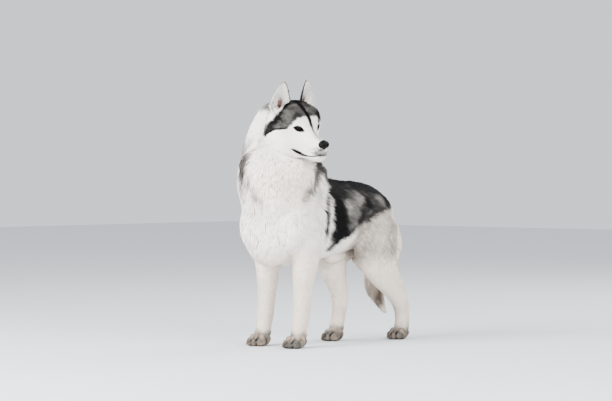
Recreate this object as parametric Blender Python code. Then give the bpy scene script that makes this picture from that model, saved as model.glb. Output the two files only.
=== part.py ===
"""A life-size still model of a Siberian husky that stands on four feet and looks to its left.

The dog faces -Y, its left side is +X and the floor is z = 0. The coat's outline is modelled whole,
as smooth forms that melt into one another, and is then parted into head, neck, torso, tail, legs and
paws with thin cuts. Sizes are in metres.
"""

import math
import random

import bmesh
import bpy
import numpy as np
from mathutils import Euler, Matrix, Vector
from mathutils.bvhtree import BVHTree

# Driving dimensions
CHEST_HALF_WIDTH = 0.122
NECK_HALF_WIDTH = 0.112
FORELEG_SPREAD = 0.080
FORE_PAW_BACK = -0.186
HIND_PAW_RIGHT = Vector((-0.050, 0.147, 0.0))
HIND_PAW_LEFT = Vector((0.064, 0.356, 0.0))
EYE_CENTRE = Vector((0.1083, -0.1625, 0.718))
HEAD_TURN = 83.0
HEAD_NOD = 17.0
HEAD_ROLL = -5.0
EYE_RADIUS = 0.0125
GAP = 0.0003
PARTING = 0.00045
WELD = 0.000002

# How finely each form is cast and how many triangles it keeps
TRUNK_VOXEL = 0.0075
TRUNK_TRIANGLES = 2600
HEAD_VOXEL = 0.0024
HEAD_TRIANGLES = 1650
PAW_VOXEL = 0.0026
PAW_TRIANGLES = 225
NOSE_VOXEL = 0.0014
NOSE_TRIANGLES = 130
TAIL_TRIANGLES = 140

COAT_WHITE = (0.86, 0.84, 0.81)
COAT_GREY = (0.30, 0.30, 0.29)
COAT_CREAM = (0.80, 0.75, 0.69)
COAT_BUFF = (0.42, 0.37, 0.32)
LEATHER_BLACK = (0.02, 0.02, 0.025)
IRIS_BROWN = (0.09, 0.035, 0.02)
CLAW_DARK = (0.05, 0.045, 0.04)

HEAD = (
    Matrix.Translation(EYE_CENTRE)
    @ Euler((0.0, 0.0, math.radians(HEAD_TURN))).to_matrix().to_4x4()
    @ Euler((math.radians(HEAD_NOD), 0.0, 0.0)).to_matrix().to_4x4()
    @ Euler((0.0, math.radians(HEAD_ROLL), 0.0)).to_matrix().to_4x4()
)

for old in list(bpy.data.objects):
    bpy.data.objects.remove(old)


# Materials and objects


def finish(name, colour, roughness, metallic=0.0):
    """A Principled material of one colour."""
    made = bpy.data.materials.new(name)
    made.use_nodes = True
    shader = made.node_tree.nodes["Principled BSDF"]
    shader.inputs["Base Color"].default_value = (*colour, 1.0)
    shader.inputs["Roughness"].default_value = roughness
    shader.inputs["Metallic"].default_value = metallic
    return made


def object_of(bm, name, material=None):
    """The bmesh as an object of the scene."""
    mesh = bpy.data.meshes.new(name)
    bm.to_mesh(mesh)
    bm.free()
    obj = bpy.data.objects.new(name, mesh)
    bpy.context.scene.collection.objects.link(obj)
    if material:
        mesh.materials.append(material)
    return obj


def settle(obj):
    """Applies the object's modifiers to its mesh."""
    graph = bpy.context.evaluated_depsgraph_get()
    graph.update()
    mesh = bpy.data.meshes.new_from_object(obj.evaluated_get(graph))
    obj.modifiers.clear()
    obj.data = mesh
    return obj


def copy_of(obj, name):
    """A copy of the object with a mesh of its own."""
    twin = bpy.data.objects.new(name, obj.data.copy())
    bpy.context.scene.collection.objects.link(twin)
    return twin


def largest(obj):
    """Keeps the object's largest closed surface."""
    bm = bmesh.new()
    bm.from_mesh(obj.data)
    left = set(bm.faces)
    groups = []
    while left:
        group, rim = set(), [left.pop()]
        while rim:
            face = rim.pop()
            group.add(face)
            for edge in face.edges:
                for other in edge.link_faces if len(edge.link_faces) == 2 else ():
                    if other in left:
                        left.remove(other)
                        rim.append(other)
        groups.append(group)
    groups.sort(key=volume_of, reverse=True)
    loose = [face for group in groups[1:] for face in group]
    bmesh.ops.delete(bm, geom=loose, context="FACES")
    between = [v for v in bm.verts if len(v.link_edges) == 2]
    bmesh.ops.dissolve_verts(bm, verts=between)
    bmesh.ops.dissolve_degenerate(bm, dist=WELD, edges=bm.edges)
    bmesh.ops.triangulate(bm, faces=bm.faces, ngon_method="EAR_CLIP")
    bm.to_mesh(obj.data)
    bm.free()
    return obj


def volume_of(faces):
    """The volume inside one closed surface."""
    total = 0.0
    for face in faces:
        corners = [v.co for v in face.verts]
        for k in range(1, len(corners) - 1):
            total += corners[0].dot(corners[k].cross(corners[k + 1]))
    return abs(total)


def combine(obj, tools, operation, solver="EXACT"):
    """Joins the tools to the object, or cuts them from it, and removes them."""
    helpers = bpy.data.collections.new("helpers")
    for tool in tools:
        helpers.objects.link(tool)
    boolean = obj.modifiers.new("combine", "BOOLEAN")
    boolean.operation = operation
    boolean.operand_type = "COLLECTION"
    boolean.collection = helpers
    boolean.solver = solver
    settle(obj)
    for tool in tools:
        bpy.data.objects.remove(tool)
    bpy.data.collections.remove(helpers)
    return obj


# Shapes


def smooth_rows(rows, steps):
    """Catmull-Rom sections between the given ones."""
    rows = np.array(rows, float)
    padded = np.vstack([2 * rows[0] - rows[1], rows, 2 * rows[-1] - rows[-2]])
    out = []
    for k in range(1, len(padded) - 2):
        a, b, c, d = padded[k - 1 : k + 3]
        for t in np.arange(steps) / steps:
            out.append(
                0.5
                * (
                    2 * b
                    + (c - a) * t
                    + (2 * a - 5 * b + 4 * c - d) * t**2
                    + (3 * b - a - 3 * c + d) * t**3
                )
            )
    out.append(rows[-1])
    return np.array(out)


def add_tube(bm, rows, across=(1, 0, 0), around=20, steps=4):
    """A closed tube through sections (x, y, z, half width, half depth); its width runs along across."""
    path = smooth_rows(rows, steps)
    centres = path[:, :3]
    tangents = np.gradient(centres, axis=0)
    rings = []
    for row, tangent in zip(path, tangents):
        along = Vector(tangent).normalized()
        width = Vector(across)
        width = (width - along * width.dot(along)).normalized()
        depth = along.cross(width)
        ring = []
        for k in range(around):
            turn = 2 * math.pi * k / around
            aside = width * (row[3] * math.cos(turn)) + depth * (row[4] * math.sin(turn))
            ring.append(bm.verts.new(Vector(row[:3]) + aside))
        rings.append(ring)
    for low, high in zip(rings, rings[1:]):
        for k in range(around):
            n = (k + 1) % around
            bm.faces.new((low[k], low[n], high[n], high[k]))
    bm.faces.new(rings[0][::-1])
    bm.faces.new(rings[-1])


def add_ball(bm, centre, radii, turn=(0, 0, 0), fine=3):
    """An ellipsoid, turned by degrees about X, Y and Z."""
    matrix = (
        Matrix.Translation(Vector(centre))
        @ Euler([math.radians(a) for a in turn]).to_matrix().to_4x4()
        @ Matrix.Diagonal((*radii, 1.0))
    )
    bmesh.ops.create_icosphere(bm, subdivisions=fine, radius=1.0, matrix=matrix)


def mirrored(rows, side):
    """The rows on the dog's left (side 1) or right (side -1)."""
    return [(side * row[0], *row[1:]) for row in rows]


def cast(bm, name, voxel, rounds, triangles):
    """Melts overlapping closed shapes into one smooth skin of about that many triangles."""
    bmesh.ops.recalc_face_normals(bm, faces=bm.faces)
    obj = object_of(bm, name)
    remesh = obj.modifiers.new("cast", "REMESH")
    remesh.mode = "VOXEL"
    remesh.voxel_size = voxel
    smooth = obj.modifiers.new("soften", "SMOOTH")
    smooth.factor = 0.5
    smooth.iterations = rounds
    settle(obj)
    faces = sum(len(f.vertices) - 2 for f in obj.data.polygons)
    decimate = obj.modifiers.new("thin_out", "DECIMATE")
    decimate.ratio = min(1.0, triangles / faces)
    decimate.use_collapse_triangulate = True
    return settle(obj)


def prism(name, outline, along):
    """A cutter: the outline drawn out by the vector along."""
    bm = bmesh.new()
    near = [bm.verts.new(point) for point in outline]
    far = [bm.verts.new(Vector(point) + Vector(along)) for point in outline]
    for k in range(len(outline)):
        n = (k + 1) % len(outline)
        bm.faces.new((near[k], near[n], far[n], far[k]))
    bm.faces.new(near)
    bm.faces.new(far[::-1])
    bmesh.ops.recalc_face_normals(bm, faces=bm.faces)
    return object_of(bm, name)


def part_off(source, body, name, outline, along):
    """Takes the piece inside the prism from the source, and cuts its place out of the body."""
    region = prism("region", outline, along)
    piece = combine(copy_of(source, name), [copy_of(region, "inside")], "INTERSECT")
    combine(body, [swollen(region, "outside", PARTING)], "DIFFERENCE")
    bpy.data.objects.remove(region)
    return largest(piece)


def swollen(obj, name, by):
    """A copy whose faces stand off the original by a small distance."""
    twin = copy_of(obj, name)
    bm = bmesh.new()
    bm.from_mesh(twin.data)
    bm.normal_update()
    moves = [(v, v.normal * (by * v.calc_shell_factor())) for v in bm.verts]
    for vert, move in moves:
        vert.co += move
    bm.to_mesh(twin.data)
    bm.free()
    return twin


# The trunk: torso, neck, shoulders, thighs, legs and the tail's core, as the coat's outline

TORSO_ROWS = [
    # x, y, z, half width, half depth
    (0.0, -0.280, 0.420, 0.030, 0.035),
    (0.0, -0.262, 0.418, 0.076, 0.085),
    (0.0, -0.215, 0.418, 0.106, 0.134),
    (0.0, -0.140, 0.418, CHEST_HALF_WIDTH - 0.003, 0.160),
    (0.0, -0.050, 0.422, CHEST_HALF_WIDTH, 0.160),
    (0.0, 0.045, 0.421, CHEST_HALF_WIDTH - 0.004, 0.142),
    (0.0, 0.120, 0.425, 0.110, 0.124),
    (0.0, 0.190, 0.433, 0.102, 0.108),
    (0.0, 0.250, 0.432, 0.096, 0.096),
    (0.0, 0.305, 0.420, 0.078, 0.078),
    (0.0, 0.342, 0.405, 0.042, 0.045),
]
NECK_ROWS = [
    (0.0, -0.115, 0.420, 0.095, 0.125),
    (-0.012, -0.143, 0.500, NECK_HALF_WIDTH + 0.022, 0.156),
    (-0.034, -0.150, 0.565, NECK_HALF_WIDTH + 0.008, 0.150),
    (-0.072, -0.141, 0.625, NECK_HALF_WIDTH - 0.022, 0.120),
    (-0.080, -0.146, 0.680, 0.070, 0.090),
    (-0.068, -0.154, 0.735, 0.053, 0.070),
    (-0.038, -0.164, 0.765, 0.048, 0.058),
    (-0.014, -0.166, 0.782, 0.034, 0.040),
]
THROAT_ROWS = [
    (0.000, -0.150, 0.420, 0.090, 0.120),
    (0.016, -0.170, 0.500, 0.110, 0.136),
    (0.034, -0.172, 0.545, 0.100, 0.110),
    (0.054, -0.168, 0.572, 0.082, 0.086),
    (0.064, -0.166, 0.596, 0.056, 0.060),
    (0.066, -0.166, 0.610, 0.030, 0.034),
]
RUFF_DEPTH = 0.020
RUFF_LENGTH = 0.105
RUFF_WIDTH = 0.071
RUFF_LEVELS = [
    # z, middle x and y of the neck there, locks round it
    (0.782, -0.026, -0.166, 5),
    (0.750, -0.054, -0.160, 6),
    (0.702, -0.068, -0.152, 7),
    (0.650, -0.060, -0.150, 8),
    (0.598, -0.020, -0.150, 9),
    (0.552, -0.010, -0.150, 9),
    (0.508, -0.005, -0.155, 9),
]
WITHERS = (-0.030, 0.600)
PARTING_SLOPE = 0.52
LOCK_SINK = 0.007
LOCK_THICK = 0.0085
LOCK_TIP = 0.0015
LOCK_SHAPE = [
    # along, share of the way out to the coat's outline, breadth, thickness
    (-0.08, 0.0, 0.60, 1.0),
    (0.34, 0.75, 1.00, 1.0),
    (0.72, 1.00, 0.70, 0.75),
]
TAIL_CORE = 0.50
TAIL_LENGTH = 0.112
TAIL_AROUND = 4
TAIL_LEVELS = (0.18, 0.36, 0.54, 0.71)
BREECH_LENGTH = 0.085
BREECH_WIDTH = 0.062
BREECH_AROUND = 3
BREECH_SPREAD = 46.0
BREECH_LEVELS = [(0.395, 0.235), (0.345, 0.230), (0.298, 0.230)]
SHOULDER_BALLS = [
    # centre, radii, turn
    ((0.080, -0.178, 0.420), (0.053, 0.074, 0.115), (-18, 0, 0)),
    ((0.062, -0.075, 0.475), (0.052, 0.095, 0.082), (0, 0, 0)),
]
THIGH_BALLS = [
    ((0.058, 0.232, 0.395), (0.056, 0.092, 0.112), (10, 0, 0)),
]
CHEST = ((0.0, -0.222, 0.388), (0.096, 0.078, 0.128))
SHAWL = ((0.030, -0.096, 0.556), (0.086, 0.084, 0.086))
NAPE = ((0.0, 0.128, -0.008), (0.066, 0.050, 0.060))
RUFF = ((-0.040, -0.190, 0.500), (0.092, 0.094, 0.130), (0, 0, 20))
BREECH = ((0.061, 0.290, 0.325), (0.048, 0.062, 0.120), (16, 0, 0))
FORELEG_ROWS = [
    (0.078, -0.165, 0.420, 0.048, 0.062),
    (0.084, -0.148, 0.345, 0.049, 0.058),
    (0.083, -0.142, 0.285, 0.041, 0.047),
    (FORELEG_SPREAD, -0.147, 0.225, 0.033, 0.038),
    (FORELEG_SPREAD, -0.152, 0.165, 0.029, 0.032),
    (FORELEG_SPREAD, -0.157, 0.112, 0.029, 0.031),
    (FORELEG_SPREAD, -0.165, 0.068, 0.027, 0.029),
    (FORELEG_SPREAD, -0.176, 0.030, 0.027, 0.028),
]
HIND_LEFT_ROWS = [
    (0.058, 0.240, 0.400, 0.058, 0.094),
    (0.066, 0.228, 0.345, 0.054, 0.092),
    (0.072, 0.232, 0.290, 0.047, 0.084),
    (0.074, 0.262, 0.238, 0.038, 0.064),
    (0.071, 0.308, 0.185, 0.031, 0.043),
    (0.067, 0.356, 0.135, 0.028, 0.033),
    (0.064, 0.374, 0.090, 0.026, 0.0285),
    (0.064, 0.374, 0.052, 0.026, 0.028),
    (0.064, 0.366, 0.028, 0.027, 0.029),
]
HIND_RIGHT_ROWS = [
    (-0.058, 0.232, 0.400, 0.058, 0.094),
    (-0.062, 0.188, 0.345, 0.053, 0.088),
    (-0.060, 0.150, 0.290, 0.046, 0.070),
    (-0.055, 0.152, 0.235, 0.037, 0.050),
    (-0.052, 0.168, 0.190, 0.030, 0.037),
    (-0.050, 0.180, 0.150, 0.027, 0.032),
    (-0.050, 0.179, 0.105, 0.025, 0.028),
    (-0.050, 0.168, 0.060, 0.025, 0.027),
    (-0.050, 0.158, 0.030, 0.026, 0.028),
]
TAIL_ROWS = [
    (0.0, 0.300, 0.460, 0.028, 0.032),
    (-0.004, 0.345, 0.420, 0.034, 0.038),
    (-0.016, 0.364, 0.355, 0.038, 0.042),
    (-0.034, 0.362, 0.290, 0.039, 0.044),
    (-0.044, 0.354, 0.225, 0.038, 0.042),
    (-0.034, 0.348, 0.165, 0.031, 0.034),
    (-0.010, 0.350, 0.115, 0.018, 0.020),
    (0.006, 0.354, 0.090, 0.005, 0.006),
]


def trunk_form(core):
    """Everything but head, paws and tail, in one skin. The core stays inside the long locks."""
    lean = RUFF_DEPTH if core else 0.0
    bm = bmesh.new()
    add_tube(bm, TORSO_ROWS, around=24)
    add_tube(bm, thinner(NECK_ROWS, lean), around=24)
    add_tube(bm, thinner(THROAT_ROWS, lean), around=24)
    for centre, radii, *turn in (RUFF, CHEST, SHAWL):
        add_ball(bm, centre, [r - lean for r in radii], *turn)
    nape = [r - lean * 0.5 for r in NAPE[1]]
    add_ball(bm, HEAD @ Vector(NAPE[0]), nape, (HEAD_NOD, 0, HEAD_TURN))
    if not core:
        add_ball(bm, *BREECH)
    for side in (1, -1):
        add_tube(bm, mirrored(FORELEG_ROWS, side))
        for centre, radii, turn in SHOULDER_BALLS + THIGH_BALLS:
            place = (side * centre[0], centre[1], centre[2])
            add_ball(bm, place, radii, (turn[0], side * turn[1], side * turn[2]))
    add_tube(bm, HIND_LEFT_ROWS)
    add_tube(bm, HIND_RIGHT_ROWS)
    return cast(bm, "trunk", TRUNK_VOXEL, 12, TRUNK_TRIANGLES)


def thinner(rows, by):
    """The same tube with its sections narrower all round."""
    return [(x, y, z, max(a - by, 0.012), max(b - by, 0.012)) for x, y, z, a, b in rows]


# Locks: flat, tapered and bent along the lie of the coat, rooted well inside the core


def lock(root, normal, lie, length, width, inner, outer):
    """One closed lock that runs from inside the core out to the coat's outline and along it to its tip."""
    lie = (lie - normal * lie.dot(normal)).normalized()
    bm = bmesh.new()
    for along, out_share, broad, thick in LOCK_SHAPE:
        guess = root + lie * (length * along)
        low, low_normal, _, _ = inner.find_nearest(guess)
        high, high_normal, _, _ = outer.find_nearest(guess)
        out = (low_normal + high_normal).normalized()
        if along < 0.0:
            out = normal
            centre = root - normal * LOCK_SINK + lie * (length * along)
        else:
            centre = low.lerp(high, out_share) + out * (LOCK_THICK * 0.3 * out_share)
        forward = (lie - out * lie.dot(out)).normalized()
        aside = forward.cross(out) * (width * broad / 2)
        bm.verts.new(centre + aside - out * (LOCK_THICK * thick * 0.4))
        bm.verts.new(centre + out * (LOCK_THICK * thick * 0.6))
        bm.verts.new(centre - aside - out * (LOCK_THICK * thick * 0.4))
    high, high_normal, _, _ = outer.find_nearest(root + lie * length)
    bm.verts.new(high + high_normal * LOCK_TIP)
    hull = bmesh.ops.convex_hull(bm, input=bm.verts)
    spare = [v for v in set(hull["geom_interior"]) | set(hull["geom_unused"]) if v.is_valid]
    bmesh.ops.delete(bm, geom=[v for v in spare if not v.link_faces], context="VERTS")
    bmesh.ops.recalc_face_normals(bm, faces=bm.faces)
    return object_of(bm, "lock")


def surface_of(obj):
    """The object's faces, for finding the nearest point and for rays."""
    bm = bmesh.new()
    bm.from_mesh(obj.data)
    tree = BVHTree.FromBMesh(bm)
    bm.free()
    return tree


def ruff_locks(inner, outer):
    """Rows of locks round the neck, from behind the ears down to the chest."""
    dice = random.Random(11)
    made = []
    for row, (z, x, y, count) in enumerate(RUFF_LEVELS):
        for k in range(count):
            turn = 2 * math.pi * (k + 0.5 * (row % 2) + dice.uniform(-0.14, 0.14)) / count
            ray = Vector((math.cos(turn), math.sin(turn), dice.uniform(-0.08, 0.08))).normalized()
            root, normal, _, _ = inner.ray_cast(Vector((x, y, z)), ray)
            if root is None or root.z < ruff_floor(root.y) + 0.010:
                continue
            lie = Vector((dice.uniform(-0.18, 0.18), 0.9 if ray.y > 0.35 else -0.05, -1.0))
            length = RUFF_LENGTH * dice.uniform(0.88, 1.15)
            width = RUFF_WIDTH * dice.uniform(0.88, 1.12)
            made.append(lock(root, normal, lie, length, width, inner, outer))
    return made


def ruff_floor(y):
    """Height of the parting between neck and torso."""
    return WITHERS[1] + (y - WITHERS[0]) * PARTING_SLOPE


def brush_locks(inner, outer):
    """Locks down the whole length of the tail."""
    dice = random.Random(12)
    path = smooth_rows(TAIL_ROWS, 4)
    made = []
    for row, share in enumerate(TAIL_LEVELS):
        spot = share * (len(path) - 1)
        low = int(spot)
        here = path[low] + (path[min(low + 1, len(path) - 1)] - path[low]) * (spot - low)
        centre = Vector(here[:3])
        ahead = Vector(path[min(low + 2, len(path) - 1)][:3]) - Vector(path[max(low - 1, 0)][:3])
        ahead.normalize()
        wide = (Vector((1, 0, 0)) - ahead * ahead.x).normalized()
        deep = ahead.cross(wide)
        for k in range(TAIL_AROUND):
            turn = 2 * math.pi * (k + 0.5 * (row % 2) + dice.uniform(-0.15, 0.15)) / TAIL_AROUND
            ray = wide * math.cos(turn) + deep * math.sin(turn)
            root, normal, _, _ = inner.ray_cast(centre, ray)
            if root is None:
                continue
            length = TAIL_LENGTH * dice.uniform(0.88, 1.15) * (1.0 - 0.30 * share)
            made.append(lock(root, normal, ahead, length, here[3] * 1.50, inner, outer))
    return made


def breech_locks(inner, outer, side):
    """Locks down the back of one thigh."""
    dice = random.Random(13 + side)
    made = []
    for row, (z, y) in enumerate(BREECH_LEVELS):
        for k in range(BREECH_AROUND):
            aside = BREECH_SPREAD * (k - (BREECH_AROUND - 1) / 2 + 0.4 * (row % 2))
            turn = math.radians(90 + aside + dice.uniform(-8, 8))
            ray = Vector((side * math.cos(turn), math.sin(turn), 0.0))
            start = Vector((side * 0.060, y - (0.0 if side > 0 else 0.03), z))
            root, normal, _, _ = inner.ray_cast(start, ray)
            if root is None:
                continue
            length = BREECH_LENGTH * dice.uniform(0.88, 1.12)
            lie = Vector((0.0, 0.20, -1.0))
            made.append(lock(root, normal, lie, length, BREECH_WIDTH, inner, outer))
    return made


# The head, in its own frame: eyes at y = 0 and z = 0, muzzle towards -y

HEAD_SECTIONS = [
    # y, then nine points (x, z) from the crown's midline round the cheek to the throat's
    (0.150, (0, 0.020), (0.012, 0.018), (0.022, 0.010), (0.030, 0.000), (0.034, -0.018), (0.034, -0.032),
     (0.026, -0.048), (0.012, -0.056), (0, -0.058)),
    (0.132, (0, 0.048), (0.024, 0.044), (0.045, 0.028), (0.057, 0.004), (0.064, -0.024), (0.065, -0.048),
     (0.050, -0.074), (0.026, -0.084), (0, -0.086)),
    (0.105, (0, 0.064), (0.030, 0.061), (0.062, 0.042), (0.075, 0.012), (0.080, -0.026), (0.084, -0.058),
     (0.066, -0.092), (0.032, -0.101), (0, -0.102)),
    (0.074, (0, 0.0715), (0.031, 0.069), (0.064, 0.050), (0.077, 0.018), (0.078, -0.026), (0.082, -0.060),
     (0.066, -0.096), (0.032, -0.106), (0, -0.108)),
    (0.046, (0, 0.0668), (0.029, 0.0662), (0.063, 0.0505), (0.078, 0.019), (0.074, -0.023), (0.076, -0.058),
     (0.060, -0.094), (0.031, -0.108), (0, -0.110)),
    (0.022, (0, 0.0548), (0.028, 0.0562), (0.060, 0.0450), (0.0725, 0.014), (0.067, -0.022),
     (0.064, -0.054), (0.051, -0.088), (0.029, -0.105), (0, -0.110)),
    (0.004, (0, 0.0398), (0.024, 0.0420), (0.052, 0.0325), (0.0615, 0.006), (0.0575, -0.022),
     (0.0545, -0.050), (0.044, -0.082), (0.026, -0.101), (0, -0.107)),
    (-0.012, (0, 0.0210), (0.016, 0.0210), (0.0325, 0.0105), (0.0400, -0.008), (0.0445, -0.029),
     (0.0445, -0.050), (0.0375, -0.077), (0.023, -0.096), (0, -0.103)),
    (-0.030, (0, -0.0020), (0.012, -0.0040), (0.0225, -0.0125), (0.0295, -0.0240), (0.0340, -0.039),
     (0.0355, -0.055), (0.0310, -0.078), (0.019, -0.094), (0, -0.1000)),
    (-0.050, (0, -0.0140), (0.010, -0.0155), (0.0180, -0.0215), (0.0245, -0.0310), (0.0290, -0.043),
     (0.0305, -0.057), (0.0275, -0.076), (0.018, -0.092), (0, -0.0985)),
    (-0.070, (0, -0.0185), (0.009, -0.0195), (0.0165, -0.0250), (0.0225, -0.0340), (0.0268, -0.045),
     (0.0275, -0.057), (0.0250, -0.074), (0.016, -0.091), (0, -0.0965)),
    (-0.085, (0, -0.0215), (0.008, -0.0225), (0.0145, -0.0275), (0.0195, -0.0360), (0.0232, -0.046),
     (0.0235, -0.057), (0.0210, -0.072), (0.014, -0.087), (0, -0.0925)),
    (-0.095, (0, -0.0290), (0.006, -0.0300), (0.0110, -0.0345), (0.0155, -0.0410), (0.0185, -0.048),
     (0.0185, -0.057), (0.0160, -0.069), (0.010, -0.080), (0, -0.0845)),
    (-0.0985, (0, -0.0400), (0.003, -0.0405), (0.0060, -0.0430), (0.0085, -0.0460), (0.0100, -0.050),
     (0.0100, -0.056), (0.0080, -0.063), (0.004, -0.068), (0, -0.0700)),
]
LID = ((0.0316, 0.0050, 0.0000), (0.0166, 0.0166, 0.0150))
EAR_ROOT = ((0.057, 0.088, 0.032), (0.028, 0.019, 0.026))
LIP = ((0.0175, -0.064, -0.0625), (0.0115, 0.028, 0.0130))
CHIN = ((0.0, -0.079, -0.0835), (0.0145, 0.0125, 0.0095))
EYE_PLACE = Vector((0.0314, 0.0050, -0.0010))
EYE_OUTWARD = 38.0
NOSE_CENTRE = Vector((0.0, -0.0925, -0.031))


def add_loft(bm, sections, between=2):
    """A closed skin through sections of equal point count, mirrored across x = 0."""
    table = np.array([[row[0]] + [c for point in row[1:] for c in point] for row in sections])
    table = smooth_rows(table, between)
    rings = []
    for row in table:
        half = smooth_rows(row[1:].reshape(-1, 2), 2)
        ring = [bm.verts.new((x, row[0], z)) for x, z in half]
        ring += [bm.verts.new((-x, row[0], z)) for x, z in half[-2:0:-1]]
        rings.append(ring)
    count = len(rings[0])
    for low, high in zip(rings, rings[1:]):
        for k in range(count):
            n = (k + 1) % count
            bm.faces.new((low[k], low[n], high[n], high[k]))
    bm.faces.new(rings[0][::-1])
    bm.faces.new(rings[-1])


def head_form():
    """Skull, muzzle, jaw, cheeks and lids, in the head's frame."""
    bm = bmesh.new()
    add_loft(bm, HEAD_SECTIONS, between=3)
    for side in (1, -1):
        for centre, radii in (LID, LIP, EAR_ROOT):
            add_ball(bm, (side * centre[0], centre[1], centre[2]), radii)
    add_ball(bm, *CHIN)
    return cast(bm, "head", HEAD_VOXEL, 3, HEAD_TRIANGLES)


def nose_form():
    """The leather of the nose with its two wings, in the head's frame."""
    bm = bmesh.new()
    add_ball(bm, NOSE_CENTRE, (0.0172, 0.0130, 0.0138))
    for side in (1, -1):
        add_ball(bm, NOSE_CENTRE + Vector((side * 0.0105, -0.0010, -0.0010)), (0.0090, 0.0110, 0.0115))
    add_ball(bm, NOSE_CENTRE + Vector((0.0, -0.000, -0.0100)), (0.0100, 0.0095, 0.0085))
    return cast(bm, "nose", NOSE_VOXEL, 4, NOSE_TRIANGLES)


def nostril(side):
    """A cutter for one nostril: a round hole drawn out into a slit at its outer side."""
    bm = bmesh.new()
    centre = NOSE_CENTRE + Vector((side * 0.0072, -0.0125, -0.0005))
    add_ball(bm, centre, (0.0032, 0.0070, 0.0030), fine=1)
    hole = object_of(bm, "nostril")
    bm = bmesh.new()
    rows = [
        (side * 0.0080, -0.1045, -0.0320, 0.0018, 0.0024),
        (side * 0.0118, -0.1010, -0.0330, 0.0016, 0.0032),
        (side * 0.0160, -0.0960, -0.0340, 0.0012, 0.0040),
    ]
    add_tube(bm, rows, across=(0, 0, 1), around=8, steps=2)
    bmesh.ops.recalc_face_normals(bm, faces=bm.faces)
    return [hole, object_of(bm, "slit")]


EAR_BASE = Vector((0.0570, 0.073, 0.046))
EAR_TIP = Vector((0.0480, 0.084, 0.1310))
EAR_HALF_WIDTH = 0.0385
EAR_THICK = 0.0052
EAR_LEVELS = (-0.30, -0.15, 0.0, 0.2, 0.4, 0.58, 0.74, 0.87, 0.95, 0.99)


def ear_shell(side):
    """One upright ear as a cupped triangle with rounded tip, in the head's frame."""
    base = Vector((side * EAR_BASE.x, EAR_BASE.y, EAR_BASE.z))
    tip = Vector((side * EAR_TIP.x, EAR_TIP.y, EAR_TIP.z))
    rise = tip - base
    up = rise.normalized()
    open_to = Vector((side * 0.27, -0.96, 0.0))
    open_to = (open_to - up * open_to.dot(up)).normalized()
    wide = up.cross(open_to)
    across, half_turn = 7, math.radians(74)
    bm = bmesh.new()
    outer, inner = [], []
    for s in EAR_LEVELS:
        grown = max(s, 0.0)
        half = EAR_HALF_WIDTH * (1.0 - 0.76 * grown**1.1) * (1.0 - grown**9) ** 0.5 + 0.0010
        half *= 1.0 + 2.0 * min(s, 0.0)
        cup = half * (0.62 - 0.25 * grown)
        thick = EAR_THICK * (1.0 - 0.5 * grown)
        row_out, row_in = [], []
        for k in range(across):
            turn = half_turn * (2 * k / (across - 1) - 1)
            edge = (math.cos(turn) - math.cos(half_turn)) / (1 - math.cos(half_turn))
            aside = half * math.sin(turn) / math.sin(half_turn)
            middle = base + rise * s + wide * aside - open_to * (cup * edge)
            wall = thick * (0.40 + 0.60 * edge) / 2
            row_out.append(bm.verts.new(middle - open_to * wall))
            row_in.append(bm.verts.new(middle + open_to * wall))
        outer.append(row_out)
        inner.append(row_in)
    for a, b, c, d in zip(outer, outer[1:], inner, inner[1:]):
        for k in range(across - 1):
            bm.faces.new((a[k], a[k + 1], b[k + 1], b[k]))
            bm.faces.new((c[k + 1], c[k], d[k], d[k + 1]))
        bm.faces.new((a[0], b[0], d[0], c[0]))
        bm.faces.new((b[-1], a[-1], c[-1], d[-1]))
    for k in range(across - 1):
        bm.faces.new((outer[0][k + 1], outer[0][k], inner[0][k], inner[0][k + 1]))
        bm.faces.new((outer[-1][k], outer[-1][k + 1], inner[-1][k + 1], inner[-1][k]))
    bmesh.ops.recalc_face_normals(bm, faces=bm.faces)
    return object_of(bm, "ear_left" if side > 0 else "ear_right")


def eye_opening(side):
    """A cutter with the almond outline of the eye, from the eyeball outwards."""
    bm = bmesh.new()
    tilt = math.radians(14)
    near, far = [], []
    for k in range(20):
        turn = 2 * math.pi * k / 20
        c, r = math.cos(turn), math.sin(turn)
        a = 0.0148 * c
        h = 0.0076 * r * (1.0 - 0.45 * abs(c) ** 2) + 0.0004
        x = a * math.cos(tilt) - h * math.sin(tilt)
        z = a * math.sin(tilt) + h * math.cos(tilt)
        near.append(bm.verts.new((x * side, 0.0, z)))
        far.append(bm.verts.new((x * side * 1.5, -0.030, z * 1.5)))
    for k in range(20):
        n = (k + 1) % 20
        bm.faces.new((near[k], near[n], far[n], far[k]))
    bm.faces.new(near[::-1])
    bm.faces.new(far)
    bmesh.ops.recalc_face_normals(bm, faces=bm.faces)
    turn = Euler((0, 0, math.radians(side * EYE_OUTWARD))).to_matrix().to_4x4()
    place = Matrix.Translation((side * EYE_PLACE.x, EYE_PLACE.y, EYE_PLACE.z)) @ turn
    bm.transform(place)
    return object_of(bm, "opening")


def ball_object(name, centre, radius, segments=12, rings=8):
    """A sphere."""
    bm = bmesh.new()
    bmesh.ops.create_uvsphere(
        bm, u_segments=segments, v_segments=rings, radius=radius, matrix=Matrix.Translation(centre)
    )
    return object_of(bm, name)


MOUTH_LINE = [
    # y, z of the lower jaw's edge, opening above it
    (-0.112, -0.0610, 0.0008),
    (-0.092, -0.0690, 0.0008),
    (-0.070, -0.0775, 0.0009),
    (-0.048, -0.0820, 0.0012),
    (-0.036, -0.0835, 0.0022),
    (-0.022, -0.0840, 0.0040),
    (-0.008, -0.0810, 0.0040),
    (0.002, -0.0765, 0.0024),
    (0.008, -0.0730, 0.0008),
]


def jaw_region(name, open_up, back):
    """The block that holds the lower jaw: below the line of the mouth, closed off behind its corner."""
    line = [(y, z + (rise if open_up else 0.0)) for y, z, rise in MOUTH_LINE]
    line += [(0.0085 + back, -0.0760), (0.0180 + back, -0.0950)]
    line += [(0.0260 + back, -0.1300), (-0.112, -0.1300)]
    return prism(name, [(0.10, y, z) for y, z in line], (-0.20, 0.0, 0.0))


# Paws

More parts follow.
